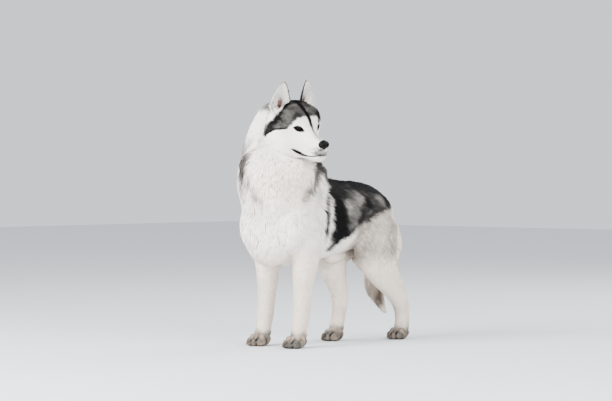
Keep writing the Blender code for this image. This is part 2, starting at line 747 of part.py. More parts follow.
TOES = [
    # across, forward
    (-0.0245, 0.0170),
    (-0.0085, 0.0290),
    (0.0085, 0.0290),
    (0.0245, 0.0170),
]
TOE_HEIGHT = 0.0140
TOE_SPLAY = -300.0
PAW_TOP = 0.0550
CLAW_ROWS = [
    # along the toe from its middle
    (0.0, -0.0130, 0.0030, 0.0032, 0.0036),
    (0.0, -0.0215, 0.0010, 0.0029, 0.0034),
    (0.0, -0.0275, -0.0035, 0.0019, 0.0024),
    (0.0, -0.0305, -0.0085, 0.0005, 0.0007),
]


def paw_form(place, name, scale):
    """A paw of four toes on a flat sole at z = 0, pointing to -y."""
    bm = bmesh.new()
    add_ball(bm, (0, 0.014, 0.025), (0.0290, 0.034, 0.0260))
    add_ball(bm, (0, 0.021, 0.050), (0.0300, 0.031, 0.0260))
    for across, forward in TOES:
        middle = (across, -forward, TOE_HEIGHT)
        add_ball(bm, middle, (0.0102, 0.0210, 0.0165), (0, 0, across * TOE_SPLAY))
        add_ball(bm, (across * 0.85, 0.012 - forward, 0.0280), (0.0100, 0.0160, 0.0130))
    bmesh.ops.scale(bm, vec=(scale, scale, 1.0), verts=bm.verts)
    bmesh.ops.translate(bm, vec=place, verts=bm.verts)
    paw = cast(bm, name, PAW_VOXEL, 3, PAW_TRIANGLES)
    bm = bmesh.new()
    bm.from_mesh(paw.data)
    for level, up in ((0.0, 1), (PAW_TOP, -1)):
        whole = bm.verts[:] + bm.edges[:] + bm.faces[:]
        bmesh.ops.bisect_plane(
            bm, geom=whole, plane_co=(0, 0, level), plane_no=(0, 0, up), clear_inner=True
        )
        bmesh.ops.holes_fill(bm, edges=[e for e in bm.edges if e.is_boundary])
    bm.to_mesh(paw.data)
    bm.free()
    return paw


def claw_forms(place, name, scale):
    """The four claws of a paw, each on the front of its toe."""
    made = []
    for count, (across, forward) in enumerate(TOES, 1):
        bm = bmesh.new()
        add_tube(bm, CLAW_ROWS, around=6, steps=1)
        bmesh.ops.recalc_face_normals(bm, faces=bm.faces)
        turn = Euler((0, 0, math.radians(across * TOE_SPLAY))).to_matrix().to_4x4()
        bm.transform(Matrix.Translation((across, -forward, TOE_HEIGHT)) @ turn)
        bmesh.ops.scale(bm, vec=(scale, scale, 1.0), verts=bm.verts)
        bmesh.ops.translate(bm, vec=place, verts=bm.verts)
        made.append(object_of(bm, f"{name}_claw_{count}"))
    return made


def tail_form(name, share, triangles):
    """The tail that hangs from the rump: its core, or the outline that its locks reach."""
    bm = bmesh.new()
    add_tube(bm, [(x, y, z, a * share, b * share) for x, y, z, a, b in TAIL_ROWS], around=12)
    return cast(bm, name, TRUNK_VOXEL * 0.5, 3, triangles)


# The whole coat, then its partings

trunk = trunk_form(core=False)
core = trunk_form(core=True)
tail = tail_form("tail", TAIL_CORE, TAIL_TRIANGLES)
tail_outline = tail_form("tail_outline", 0.96, TAIL_TRIANGLES * 2)
head = head_form()
nose = nose_form()
ears = [ear_shell(side) for side in (1, -1)]

# Mouth, nose, eyes and ears are fitted in the head's frame

head_whole = copy_of(head, "head_whole")
jaw = copy_of(head, "jaw")
combine(jaw, [jaw_region("lower", False, -GAP)], "INTERSECT")
combine(head, [jaw_region("upper", True, GAP)], "DIFFERENCE")
largest(jaw)
combine(head, [swollen(nose, "nose_seat", GAP)], "DIFFERENCE")
for side, ear in zip((1, -1), ears):
    combine(ear, [swollen(head, "ear_seat", GAP)], "DIFFERENCE")
    largest(ear)
combine(nose, nostril(1) + nostril(-1), "DIFFERENCE")
largest(nose)
eyes = []
cutters = []
for side, name in ((1, "eye_left"), (-1, "eye_right")):
    centre = Vector((side * EYE_PLACE.x, EYE_PLACE.y, EYE_PLACE.z))
    eyes.append(ball_object(name, centre, EYE_RADIUS))
    cutters.append(ball_object("socket", centre, EYE_RADIUS + GAP * 1.3))
    cutters.append(eye_opening(side))
head_seat = copy_of(head_whole, "head_seat")
bpy.data.objects.remove(head_whole)
combine(head, cutters, "DIFFERENCE")
largest(head)
for piece in [head, jaw, nose, head_seat] + ears + eyes:
    piece.data.transform(HEAD)

# Paws with their claws

FORE_PAW_LEFT = Vector((FORELEG_SPREAD, FORE_PAW_BACK, 0.0))
FORE_PAW_RIGHT = Vector((-FORELEG_SPREAD, FORE_PAW_BACK, 0.0))
PAWS = {
    "fore_paw_left": (FORE_PAW_LEFT, 0.92),
    "fore_paw_right": (FORE_PAW_RIGHT, 0.92),
    "hind_paw_left": (HIND_PAW_LEFT, 0.88),
    "hind_paw_right": (HIND_PAW_RIGHT, 0.88),
}
paws, claws = [], []
for name, (place, scale) in PAWS.items():
    paw = paw_form(place, name, scale)
    nails = claw_forms(place, name, scale)
    combine(paw, [swollen(nail, "quick", GAP) for nail in nails], "DIFFERENCE")
    paws.append(largest(paw))
    claws += nails

# Neck, legs and tail are parted from the torso

FLANK_LEFT = [
    # y, z of the parting between thigh and torso, from the rump to the knee
    (0.450, 0.412), (0.300, 0.405), (0.215, 0.402), (0.165, 0.378), (0.138, 0.345), (0.127, 0.318),
    (0.115, 0.290),
]
FLANK_RIGHT = [
    (0.450, 0.412), (0.300, 0.405), (0.195, 0.402), (0.138, 0.378), (0.106, 0.345), (0.086, 0.318),
    (0.055, 0.280),
]
inner, outer = surface_of(core), surface_of(trunk)
torso = trunk
torso.name = "torso"
neck_block = [(0.3, y, ruff_floor(y)) for y in (0.20, -0.50)] + [(0.3, -0.50, 1.0), (0.3, 0.20, 1.0)]
neck = part_off(core, torso, "neck", neck_block, (-0.6, 0, 0))
body_seat = copy_of(torso, "body_seat")
foot = PAW_TOP + GAP
legs, thighs = [], []
for side, word in ((1, "left"), (-1, "right")):
    elbow = [(0.033, 0.258), (0.160, 0.340), (0.160, foot), (0.033, foot)]
    outline = [(side * x, -0.30, z) for x, z in elbow]
    legs.append(part_off(core, torso, f"foreleg_{word}", outline, (0, 0.26, 0)))
    hip = FLANK_LEFT if side > 0 else FLANK_RIGHT
    outline = [(side * 0.010, y, z) for y, z in hip + [(hip[-1][0], foot), (0.45, foot)]]
    thigh = part_off(core, torso, f"thigh_{word}", outline, (side * 0.2, 0, 0))
    outline = [(side * 0.2, y, z) for y, z in ((0.0, 0.205), (0.5, 0.205), (0.5, -0.1), (0.0, -0.1))]
    legs.append(part_off(thigh, thigh, f"hindleg_{word}", outline, (side * -0.4, 0, 0)))
    thighs.append(largest(thigh))
legs += thighs
bpy.data.objects.remove(core)
under = [(0.3, -0.4, foot), (0.3, 0.6, foot), (0.3, 0.6, -0.1), (0.3, -0.4, -0.1)]
for leg in legs:
    combine(leg, [prism("floor", under, (-0.6, 0, 0))], "DIFFERENCE")
for piece in [torso] + thighs:
    combine(piece, [swollen(tail, "tail_out", PARTING)], "DIFFERENCE")
    largest(piece)

# The long coat: ruff, brush and breeches, each fused to its core and cut clear of its neighbours


def dress(core_piece, locks, neighbours):
    """Fuses the locks to their core and cuts them clear of the neighbours."""
    combine(core_piece, locks, "UNION")
    largest(core_piece)
    for neighbour in neighbours:
        combine(core_piece, [swollen(neighbour, "clear", GAP * 1.2)], "DIFFERENCE")
    return largest(core_piece)


dress(neck, ruff_locks(inner, outer), [head_seat, body_seat] + ears)
for seat in (head_seat, body_seat):
    bpy.data.objects.remove(seat)
dress(tail, brush_locks(surface_of(tail), surface_of(tail_outline)), [torso] + legs)
for side, thigh in zip((1, -1), thighs):
    calf = [leg for leg in legs if leg.name.startswith("hindleg")][0 if side > 0 else 1]
    dress(thigh, breech_locks(inner, outer, side), [torso, calf, tail_outline])
bpy.data.objects.remove(tail_outline)

# Colours, and the origin under the middle of the whole

FINISHES = {
    "head": finish("face_coat", COAT_GREY, 0.85),
    "ear": finish("ear_coat", COAT_WHITE, 0.85),
    "neck": finish("neck_coat", COAT_WHITE, 0.85),
    "torso": finish("body_coat", COAT_GREY, 0.85),
    "leg": finish("leg_coat", COAT_CREAM, 0.85),
    "tail": finish("tail_coat", COAT_CREAM, 0.85),
    "paw": finish("paw_coat", COAT_BUFF, 0.85),
    "claw": finish("claw_horn", CLAW_DARK, 0.4),
    "nose": finish("nose_leather", LEATHER_BLACK, 0.35),
    "eye": finish("eye_glass", IRIS_BROWN, 0.1),
}
GROUPS = {
    "head": [head, jaw],
    "ear": ears,
    "neck": [neck],
    "torso": [torso],
    "leg": legs,
    "tail": [tail],
    "paw": paws,
    "claw": claws,
    "nose": [nose],
    "eye": eyes,
}
corners = []
for kind, pieces in GROUPS.items():
    for piece in pieces:
        piece.data.materials.clear()
        piece.data.materials.append(FINISHES[kind])
        corners += [v.co.copy() for v in piece.data.vertices]
low = Vector(min(c[k] for c in corners) for k in range(3))
high = Vector(max(c[k] for c in corners) for k in range(3))
shift = Matrix.Translation((-(low.x + high.x) / 2, -(low.y + high.y) / 2, -low.z))
for pieces in GROUPS.values():
    for piece in pieces:
        piece.data.transform(shift)
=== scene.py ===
"""A life-size still model of a Siberian husky, dressed with its hide, coat, eyes, nose, claws and whiskers.

The dog faces -Y, its left side is +X and the floor is z = 0. Sizes are in metres, except in the
tables of rows, which are in millimetres. The rows stand in the dog's own frame, which SHIFT moves
onto the frame of the solids.
"""

import math
import random

import bmesh
import bpy
import numpy as np
from mathutils import Euler, Matrix, Vector
from mathutils.bvhtree import BVHTree
from mathutils.kdtree import KDTree


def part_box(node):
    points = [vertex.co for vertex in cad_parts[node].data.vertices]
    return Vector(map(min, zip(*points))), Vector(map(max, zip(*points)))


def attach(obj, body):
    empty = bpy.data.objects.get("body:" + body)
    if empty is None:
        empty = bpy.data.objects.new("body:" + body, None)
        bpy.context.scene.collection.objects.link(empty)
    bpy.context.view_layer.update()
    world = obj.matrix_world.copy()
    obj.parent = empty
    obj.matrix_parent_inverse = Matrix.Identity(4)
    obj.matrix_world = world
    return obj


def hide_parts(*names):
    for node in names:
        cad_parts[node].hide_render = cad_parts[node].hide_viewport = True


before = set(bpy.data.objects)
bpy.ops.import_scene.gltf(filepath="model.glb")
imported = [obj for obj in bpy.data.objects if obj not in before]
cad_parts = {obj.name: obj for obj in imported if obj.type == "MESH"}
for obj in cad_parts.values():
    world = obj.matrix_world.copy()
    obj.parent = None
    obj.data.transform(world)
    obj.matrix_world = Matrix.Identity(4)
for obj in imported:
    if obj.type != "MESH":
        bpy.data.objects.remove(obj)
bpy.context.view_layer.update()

# The hide: flesh and skin of the whole dog in one closed surface, from the nose's edge to the soles.
# It is the coat's outline drawn in by the depth of the fur, cast at 1.3 mm on the ears, 2.3 mm on the
# head, 2.5 mm on the paws and 6 mm elsewhere, and joined so that no seam shows.

SIDES = (1, -1)


def metres(rows):
    """Rows in millimetres, given to a tenth, as rows in metres."""
    return [tuple(round(v * 10) / 10000 for v in row) for row in rows]


def rotation(x, y, z):
    """A turn by degrees about X, Y and Z."""
    return Euler([math.radians(a) for a in (x, y, z)]).to_matrix().to_4x4()


def mirrored(point, side):
    """The point, or where side is -1 its mirror image across the middle."""
    return Vector((side * point[0], point[1], point[2]))


EYE_CENTRE = Vector((0.1083, -0.1625, 0.718))
HEAD = Matrix.Translation(EYE_CENTRE) @ rotation(0, 0, 83) @ rotation(17, 0, 0) @ rotation(0, -5, 0)
EYE_PLACE = Vector((0.0294, 0.0044, -0.001))
EYE_OUTWARD = 41.0
EYE_RADIUS = 0.0125

eye_boxes = [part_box("eye_left"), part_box("eye_right")]
eyes_at = sum((low + high for low, high in eye_boxes), Vector()) / 4
eyes_in_rows = sum((HEAD @ mirrored(EYE_PLACE, side) for side in SIDES), Vector()) / 2
SHIFT = eyes_at - eyes_in_rows
SHIFT.z = 0.0

TORSO_ROWS = metres([
    # x, y, z, half width, half depth
    (0, -280, 420, 30, 35), (0, -262, 418, 76, 85), (0, -215, 418, 106, 134), (0, -140, 418, 119, 160),
    (0, -50, 420, 122, 150), (0, 45, 418, 118, 132), (0, 120, 423, 110, 122), (0, 190, 433, 102, 108),
    (0, 250, 430, 96, 94), (0, 305, 416, 78, 74), (0, 342, 405, 42, 45),
])
NECK_ROWS = metres([
    (0, -115, 420, 95, 125), (-12, -143, 500, 134, 156), (-34, -150, 565, 120, 150),
    (-72, -141, 625, 90, 120), (-80, -146, 680, 70, 90), (-68, -154, 735, 53, 70), (-38, -164, 765, 48, 58),
    (-14, -166, 782, 34, 40),
])
THROAT_ROWS = metres([
    (0, -150, 420, 90, 120), (16, -170, 500, 110, 136), (34, -172, 545, 100, 110), (54, -168, 572, 82, 86),
    (64, -166, 596, 56, 60), (66, -166, 610, 30, 34),
])
FORELEG_ROWS = metres([
    (78, -165, 420, 48, 62), (84, -148, 345, 49, 58), (83, -142, 285, 41, 47), (80, -147, 225, 33, 38),
    (80, -152, 165, 29, 32), (80, -157, 112, 29, 31), (80, -165, 68, 27, 29), (80, -176, 30, 27, 28),
])
HIND_LEFT_ROWS = metres([
    (58, 240, 400, 58, 94), (66, 228, 345, 54, 92), (72, 232, 290, 47, 84), (74, 262, 238, 38, 64),
    (71, 308, 185, 31, 43), (67, 356, 135, 28, 33), (64, 374, 90, 26, 28.5), (64, 374, 52, 26, 28),
    (64, 366, 28, 27, 29),
])
HIND_RIGHT_ROWS = metres([
    (-58, 232, 400, 58, 94), (-62, 188, 345, 53, 88), (-60, 150, 290, 46, 70), (-55, 152, 235, 37, 50),
    (-52, 168, 190, 30, 37), (-50, 180, 150, 27, 32), (-50, 179, 105, 25, 28), (-50, 168, 60, 25, 27),
    (-50, 158, 30, 26, 28),
])
TAIL_ROWS = metres([
    (0, 300, 460, 28, 32), (-4, 345, 420, 34, 38), (-16, 364, 355, 38, 42), (-34, 362, 290, 39, 44),
    (-44, 354, 225, 38, 42), (-34, 348, 165, 31, 34), (-10, 350, 115, 18, 20), (6, 354, 90, 5, 6),
])
MASSES = [
    # centre, radii, turn, depth of the fur over it, on both sides or not
    ((0.08, -0.178, 0.42), (0.053, 0.074, 0.115), (-18, 0, 0), 0.009, True),
    ((0.062, -0.075, 0.475), (0.052, 0.095, 0.082), (0, 0, 0), 0.01, True),
    ((0.058, 0.224, 0.39), (0.056, 0.086, 0.106), (10, 0, 0), 0.009, True),
    ((0.048, 0.3, 0.33), (0.044, 0.068, 0.096), (0, 0, 0), 0.012, True),
    ((0.0, -0.222, 0.388), (0.096, 0.078, 0.128), (0, 0, 0), 0.013, False),
    ((0.03, -0.096, 0.556), (0.086, 0.084, 0.086), (0, 0, 0), 0.015, False),
    ((-0.04, -0.19, 0.5), (0.092, 0.094, 0.13), (0, 0, 20), 0.016, False),
    (tuple(HEAD @ Vector((0.0, 0.128, -0.008))), (0.066, 0.05, 0.06), (17, 0, 83), 0.01, False),
    ((0.0, 0.095, 0.292), (0.022, 0.055, 0.026), (8, 0, 0), 0.006, False),
]
SHEATH_END = (0.0, 0.048, 0.274)
LEG_FUR = 0.0035
TAIL_CORE = 0.52
PAWS = {
    # place of the paw, its scale across
    "fore_paw_left": (Vector((0.08, -0.186, 0.0)), 0.92),
    "fore_paw_right": (Vector((-0.08, -0.186, 0.0)), 0.92),
    "hind_paw_left": (Vector((0.064, 0.356, 0.0)), 0.88),
    "hind_paw_right": (Vector((-0.05, 0.147, 0.0)), 0.88),
}
TOES = metres([(-24.5, 17), (-8.5, 29), (8.5, 29), (24.5, 17)])
TOE_HEIGHT = 0.014
TOE_SPLAY = -300.0
PAW_MASSES = metres([
    # centre and radii of the foot and the wrist
    (0, 14, 25, 27.2, 32, 24), (0, 21, 48, 25.5, 27, 25),
])
TOE_RADII = (0.0092, 0.02, 0.015)
KNUCKLE_RADII = (0.0088, 0.015, 0.0122)
TOE_PAD_RADII = (0.0074, 0.0105, 0.005)
HEEL_PAD_RADII = (0.0175, 0.015, 0.0058)
SOLE_HEIGHT = 0.0006


def add_object(name, data):
    """A new object of the scene."""
    obj = bpy.data.objects.new(name, data)
    bpy.context.scene.collection.objects.link(obj)
    return obj


def object_of(bm, name):
    """The bmesh as an object of the scene."""
    mesh = bpy.data.meshes.new(name)
    bm.to_mesh(mesh)
    bm.free()
    return add_object(name, mesh)


def closed_object(bm, name):
    """The same for closed shapes, with their faces turned outwards."""
    bmesh.ops.recalc_face_normals(bm, faces=bm.faces)
    return object_of(bm, name)


def settle(obj):
    """Applies the object's modifiers to its mesh."""
    graph = bpy.context.evaluated_depsgraph_get()
    graph.update()
    obj.data = bpy.data.meshes.new_from_object(obj.evaluated_get(graph))
    obj.modifiers.clear()
    return obj


def combine(obj, tools, operation):
    """Joins the tools to the object, or cuts them from it, and removes them."""
    for tool in tools:
        boolean = obj.modifiers.new("combine", "BOOLEAN")
        boolean.operation = operation
        boolean.object = tool
        boolean.solver = "MANIFOLD"
        settle(obj)
        bpy.data.objects.remove(tool)
    return obj


def smooth_rows(rows, steps):
    """Catmull-Rom sections between the given ones."""
    rows = np.array(rows, float)
    padded = np.vstack([2 * rows[0] - rows[1], rows, 2 * rows[-1] - rows[-2]])
    out = []
    for a, b, c, d in zip(padded, padded[1:], padded[2:], padded[3:]):
        for t in np.arange(steps) / steps:
            bend = (2 * a - 5 * b + 4 * c - d) * t**2 + (3 * b - a - 3 * c + d) * t**3
            out.append(0.5 * (2 * b + (c - a) * t + bend))
    out.append(rows[-1])
    return np.array(out)


def add_tube(bm, rows, across=(1, 0, 0), around=24, steps=4):
    """A closed tube through sections (x, y, z, half width, half depth); its width runs along across."""
    path = smooth_rows(rows, steps)
    tangents = np.gradient(path[:, :3], axis=0)
    rings = []
    for row, tangent in zip(path, tangents):
        along = Vector(tangent).normalized()
        width = Vector(across)
        width = (width - along * width.dot(along)).normalized()
        depth = along.cross(width)
        ring = []
        for k in range(around):
            turn = 2 * math.pi * k / around
            aside = width * (row[3] * math.cos(turn)) + depth * (row[4] * math.sin(turn))
            ring.append(bm.verts.new(Vector(row[:3]) + aside))
        rings.append(ring)
    skin_over(bm, rings)


def skin_over(bm, rings):
    """Faces between the rings, and a cap on each end."""
    count = len(rings[0])
    for low, high in zip(rings, rings[1:]):
        for k in range(count):
            n = (k + 1) % count
            bm.faces.new((low[k], low[n], high[n], high[k]))
    bm.faces.new(rings[0][::-1])
    bm.faces.new(rings[-1])


def add_ball(bm, centre, radii, turn=(0, 0, 0), fine=4):
    """An ellipsoid, turned by degrees about X, Y and Z."""
    matrix = Matrix.Translation(Vector(centre)) @ rotation(*turn) @ Matrix.Diagonal((*radii, 1.0))
    bmesh.ops.create_icosphere(bm, subdivisions=fine, radius=1.0, matrix=matrix)


def cast(bm, name, voxel, rounds):
    """Melts overlapping closed shapes into one smooth skin."""
    obj = closed_object(bm, name)
    remesh = obj.modifiers.new("cast", "REMESH")
    remesh.mode = "VOXEL"
    remesh.voxel_size = voxel
    smooth = obj.modifiers.new("soften", "SMOOTH")
    smooth.factor = 0.5
    smooth.iterations = rounds
    return settle(obj)


def thinner(rows, by):
    """The same tube with its sections narrower all round."""
    return [(x, y, z, max(a - by, 0.008), max(b - by, 0.008)) for x, y, z, a, b in rows]


bm = bmesh.new()
for rows, fur in ((TORSO_ROWS, 0.01), (NECK_ROWS, 0.017), (THROAT_ROWS, 0.013)):
    add_tube(bm, thinner(rows, fur))
add_tube(bm, [(x, y, z, a * TAIL_CORE, b * TAIL_CORE) for x, y, z, a, b in TAIL_ROWS])
for rows in (HIND_LEFT_ROWS, HIND_RIGHT_ROWS):
    add_tube(bm, thinner(rows, LEG_FUR))
for centre, radii, turn, fur, paired in MASSES:
    for side in SIDES if paired else (1,):
        facing = (turn[0], side * turn[1], side * turn[2])
        add_ball(bm, mirrored(centre, side), [r - fur for r in radii], facing)
for side in SIDES:
    add_tube(bm, [(side * x, *rest) for x, *rest in thinner(FORELEG_ROWS, LEG_FUR)])
hide = cast(bm, "hide", 0.006, 8)

for name, (place, scale) in PAWS.items():
    bm = bmesh.new()
    for row in PAW_MASSES:
        add_ball(bm, row[:3], row[3:])
    for across, forward in TOES:
        add_ball(bm, (across, -forward, TOE_HEIGHT), TOE_RADII, (0, 0, across * TOE_SPLAY), 3)
        add_ball(bm, (across * 0.88, 0.012 - forward, 0.027), KNUCKLE_RADII, fine=3)
    for across, forward in TOES:
        add_ball(bm, (across, 0.001 - forward, 0.0042), TOE_PAD_RADII, fine=3)
    add_ball(bm, (0, 0.012, 0.005), HEEL_PAD_RADII, fine=3)
    bmesh.ops.scale(bm, vec=(scale, scale, 1.0), verts=bm.verts)
    bmesh.ops.translate(bm, vec=place, verts=bm.verts)
    paw = cast(bm, name, 0.0025, 2)
    for vert in paw.data.vertices:
        vert.co.z = max(vert.co.z, SOLE_HEIGHT)
    combine(hide, [paw], "UNION")

HEAD_SECTIONS = metres([
    # y, then nine points (x, z) from the crown's midline round the cheek to the throat's
    (150, 0, 20, 12, 18, 22, 10, 30, 0, 34, -18, 34, -32, 26, -48, 12, -56, 0, -58),
    (132, 0, 48, 24, 44, 45, 28, 57, 4, 64, -24, 65, -48, 50, -74, 26, -84, 0, -86),
    (105, 0, 64, 30, 61, 62, 42, 75, 12, 80, -26, 84, -58, 66, -92, 32, -101, 0, -102),
    (74, 0, 71.5, 31, 69, 64, 50, 77, 18, 78, -26, 82, -60, 66, -96, 32, -106, 0, -108),
    (46, 0, 66.8, 29, 66.2, 63, 50.5, 78, 19, 74, -23, 76, -58, 60, -94, 31, -108, 0, -110),
    (22, 0, 54.8, 28, 56.2, 60, 45, 72.5, 14, 67, -22, 64, -54, 51, -88, 29, -105, 0, -110),
    (4, 0, 39.8, 24, 42, 52, 32.5, 61.5, 6, 57.5, -22, 54.5, -50, 44, -82, 26, -101, 0, -107),
    (-12, 0, 21, 16, 21, 32.5, 10.5, 40, -8, 44.5, -29, 44.5, -50, 37.5, -77, 23, -96, 0, -103),
    (-30, 0, -2, 12, -4, 22.5, -12.5, 29.5, -24, 34, -39, 35.5, -55, 31, -78, 19, -94, 0, -100),
    (-50, 0, -14, 10, -15.5, 18, -21.5, 24.5, -31, 29, -43, 30.5, -57, 27.5, -76, 18, -92, 0, -98.5),
    (-70, 0, -18.5, 9, -19.5, 16.5, -25, 22.5, -34, 26.8, -45, 27.5, -57, 25, -74, 16, -91, 0, -96.5),
    (-85, 0, -21.5, 8, -22.5, 14.5, -27.5, 19.5, -36, 23.2, -46, 23.5, -57, 21, -72, 14, -87, 0, -92.5),
    (-95, 0, -29, 6, -30, 11, -34.5, 15.5, -41, 18.5, -48, 18.5, -57, 16, -69, 10, -80, 0, -84.5),
    (-98.5, 0, -40, 3, -40.5, 6, -43, 8.5, -46, 10, -50, 10, -56, 8, -63, 4, -68, 0, -70),
])
HEAD_SWELLS = [
    # lid, lip, root of the ear: centre and radii on each side
    ((0.0298, 0.0046, 0.0), (0.0166, 0.0166, 0.015)),
    ((0.0175, -0.064, -0.0625), (0.0115, 0.028, 0.013)),
    ((0.057, 0.088, 0.032), (0.027, 0.019, 0.026)),
]
EAR_BASE = Vector((0.057, 0.073, 0.046))
EAR_TIP = Vector((0.048, 0.084, 0.131))
EAR_HALF_WIDTH = 0.0385
EAR_HALF_TURN = math.radians(74)
EAR_WALL = 0.005
EAR_STEPS = 17
EAR_LEVELS = np.concatenate([np.linspace(-0.3, 0.9, 25), [0.93, 0.96, 0.98, 0.992]])
EAR_CUP_LEVELS = np.linspace(-0.13, 0.5, 16)


def ear_axes(side):
    """Base, rise, the way the cup opens and the way across it."""
    base = mirrored(EAR_BASE, side)
    rise = mirrored(EAR_TIP, side) - base
    up = rise.normalized()
    open_to = Vector((side * 0.27, -0.96, 0.0))
    open_to = (open_to - up * open_to.dot(up)).normalized()
    return base, rise, open_to, up.cross(open_to)


def ear_shape(s):
    """Half width, depth of the cup and thickness of the wall at a share of the ear's height."""
    grown = np.maximum(s, 0.0)
    half = EAR_HALF_WIDTH * (1.0 - 0.76 * grown**1.1) * (1.0 - np.minimum(grown, 1.0) ** 9) ** 0.5 + 0.001
    half = half * (1.0 + 2.0 * np.minimum(s, 0.0))
    return half, half * (0.62 - 0.25 * grown), EAR_WALL * (1.0 - 0.4 * grown)


def ear_arc(half, aside):
    """Share of the cup's depth at a distance from its middle."""
    turn = np.arcsin(np.clip(aside / half * math.sin(EAR_HALF_TURN), -1, 1))
    return (np.cos(turn) - math.cos(EAR_HALF_TURN)) / (1 - math.cos(EAR_HALF_TURN))


def ear_rings(bm, side, levels, front_of):
    """Rings of points: the back of the cup from edge to edge, then its front."""
    base, rise, open_to, wide = ear_axes(side)
    turns = np.linspace(-EAR_HALF_TURN, EAR_HALF_TURN, EAR_STEPS)
    rings = []
    for s in levels:
        half, cup, thick = ear_shape(s)
        back, front = [], []
        for aside in half * np.sin(turns) / math.sin(EAR_HALF_TURN):
            edge = ear_arc(half, aside)
            wall = thick * (0.5 + 0.5 * edge) / 2
            low, high = front_of(s, -cup * edge, wall)
            place = base + rise * s + wide * aside
            back.append(bm.verts.new(place + open_to * low))
            front.append(bm.verts.new(place + open_to * high))
        rings.append(back + front[::-1])
    skin_over(bm, rings)


def ramp(value, low, high):
    """0 below low, 1 above high and a soft step between them."""
    t = np.clip((value - low) / (high - low), 0, 1)
    return t * t * (3 - 2 * t)


def fall(value, low, high):
    """1 below low, 0 above high and a soft step between them."""
    return 1 - ramp(value, low, high)


def lengths(rows):
    """Length of each row."""
    return np.linalg.norm(rows, axis=-1)


def unit(rows, least=0.0):
    """Each row at length 1; least keeps a row of zeros from dividing by zero."""
    return rows / (lengths(rows)[..., None] + least)


def ear_hollow(s, middle, wall):
    """Back and front of the space inside the cup, which closes in a rounded pocket at its foot."""
    pocket = math.sqrt(min(1.0, (s + 0.135) / 0.2))
    fade = 0.0024 * float(ramp(s, 0.22, 0.5))
    return 0.0035 + (middle + wall - 0.0035) * pocket + fade, 0.004 + fade


bm = bmesh.new()
rings = []
for row in smooth_rows(HEAD_SECTIONS, 4):
    half = smooth_rows(row[1:].reshape(-1, 2), 3)
    ring = [bm.verts.new((x, row[0], z)) for x, z in half]
    ring += [bm.verts.new((-x, row[0], z)) for x, z in half[-2:0:-1]]
    rings.append(ring)
skin_over(bm, rings)
for centre, radii in HEAD_SWELLS:
    for side in SIDES:
        add_ball(bm, mirrored(centre, side), radii)
add_ball(bm, (0.0, -0.079, -0.0835), (0.0145, 0.0125, 0.0095))
head = cast(bm, "head_hide", 0.0023, 2)

# The head's fur is 1 mm deep on the muzzle and up to 8 mm behind the cheeks: the hide lies that much
# inside.
CHEEK_FUR = metres([
    # y, depth of the fur
    (-100, 0.6), (-30, 1), (0, 1.6), (30, 2.4), (60, 4.5), (100, 7), (150, 8),
])


def read(items, name, width, kind=float):
    """One attribute of all items of a mesh, a row for each."""
    values = np.empty(len(items) * width, kind)
    items.foreach_get(name, values)
    return values.reshape(-1, width)


def mesh_arrays(mesh):
    """Points, normals and triangles of a mesh."""
    mesh.calc_loop_triangles()
    points, normals = read(mesh.vertices, "co", 3), read(mesh.vertex_normals, "vector", 3)
    return points, normals, read(mesh.loop_triangles, "vertices", 3, np.int32)


points, normals, _ = mesh_arrays(head.data)
fur = np.interp(points[:, 1], *zip(*CHEEK_FUR))
for side in SIDES:
    fur = fur * (1 - fall(lengths(points - np.array(mirrored(EYE_PLACE, side))), 0.02, 0.034))
points -= normals * fur[:, None]
head.data.vertices.foreach_set("co", points.ravel())
ears, hollows = [], []
for side in SIDES:
    bm = bmesh.new()
    ear_rings(bm, side, EAR_LEVELS, lambda s, middle, wall: (middle - wall, middle + wall))
    ears.append(cast(bm, "ear", 0.0013, 2))
    bm = bmesh.new()
    ear_rings(bm, side, EAR_CUP_LEVELS, ear_hollow)
    hollows.append(closed_object(bm, "hollow"))
combine(head, ears, "UNION")
combine(head, hollows, "DIFFERENCE")

# Eye openings are almonds 29 mm long, and the mouth is a slit that gapes a little at its corners.
OPENING = (0.0146, 0.00685)
EYE_TILT = math.radians(14)
ALMOND_TAPER = 0.45
SOCKET_GAP = 0.0003
MOUTH_LINE = metres([
    # y, z of the lower lip's edge, opening above it
    (-112, -61, 0.9), (-92, -69, 0.9), (-70, -77.5, 1), (-48, -82, 1.6), (-36, -83.5, 3.8),
    (-22, -84.5, 8.5), (-8, -82, 9), (2, -77, 5.2), (8, -73, 0.8),
])


def eye_axes(side):
    """Place and turn of one eye: its own -y looks out of the opening."""
    return Matrix.Translation(mirrored(EYE_PLACE, side)) @ rotation(0, 0, side * EYE_OUTWARD)


def almond(count):
    """Outline of the eye opening, its outer corner higher than the inner one."""
    lean, rise = math.cos(EYE_TILT), math.sin(EYE_TILT)
    out = []
    for k in range(count):
        c, r = math.cos(2 * math.pi * k / count), math.sin(2 * math.pi * k / count)
        a = OPENING[0] * c
        h = OPENING[1] * r * (1.0 - ALMOND_TAPER * c * c) + 0.0007
        out.append((a * lean - h * rise, a * rise + h * lean))
    return out


cutters = []
for side in SIDES:
    bm = bmesh.new()
    rings = [
        [bm.verts.new((x * side * grow, y, z * grow)) for x, z in almond(40)]
        for y, grow in ((0.0, 1.0), (-0.03, 1.45))
    ]
    skin_over(bm, rings)
    bm.transform(eye_axes(side))
    cutters.append(closed_object(bm, "opening"))
    bm = bmesh.new()
    add_ball(bm, mirrored(EYE_PLACE, side), [EYE_RADIUS + SOCKET_GAP] * 3)
    cutters.append(object_of(bm, "socket"))
bm = bmesh.new()
line = smooth_rows(MOUTH_LINE, 4)
outline = [(y, z) for y, z, rise in line] + [(y, z + rise) for y, z, rise in line[::-1]]
skin_over(bm, [[bm.verts.new((x, y, z)) for y, z in outline] for x in (0.1, -0.1)])
cutters.append(closed_object(bm, "slit"))
combine(head, cutters, "DIFFERENCE")
head.data.transform(HEAD)
combine(hide, [head], "UNION")
bm = bmesh.new()
bm.from_mesh(hide.data)
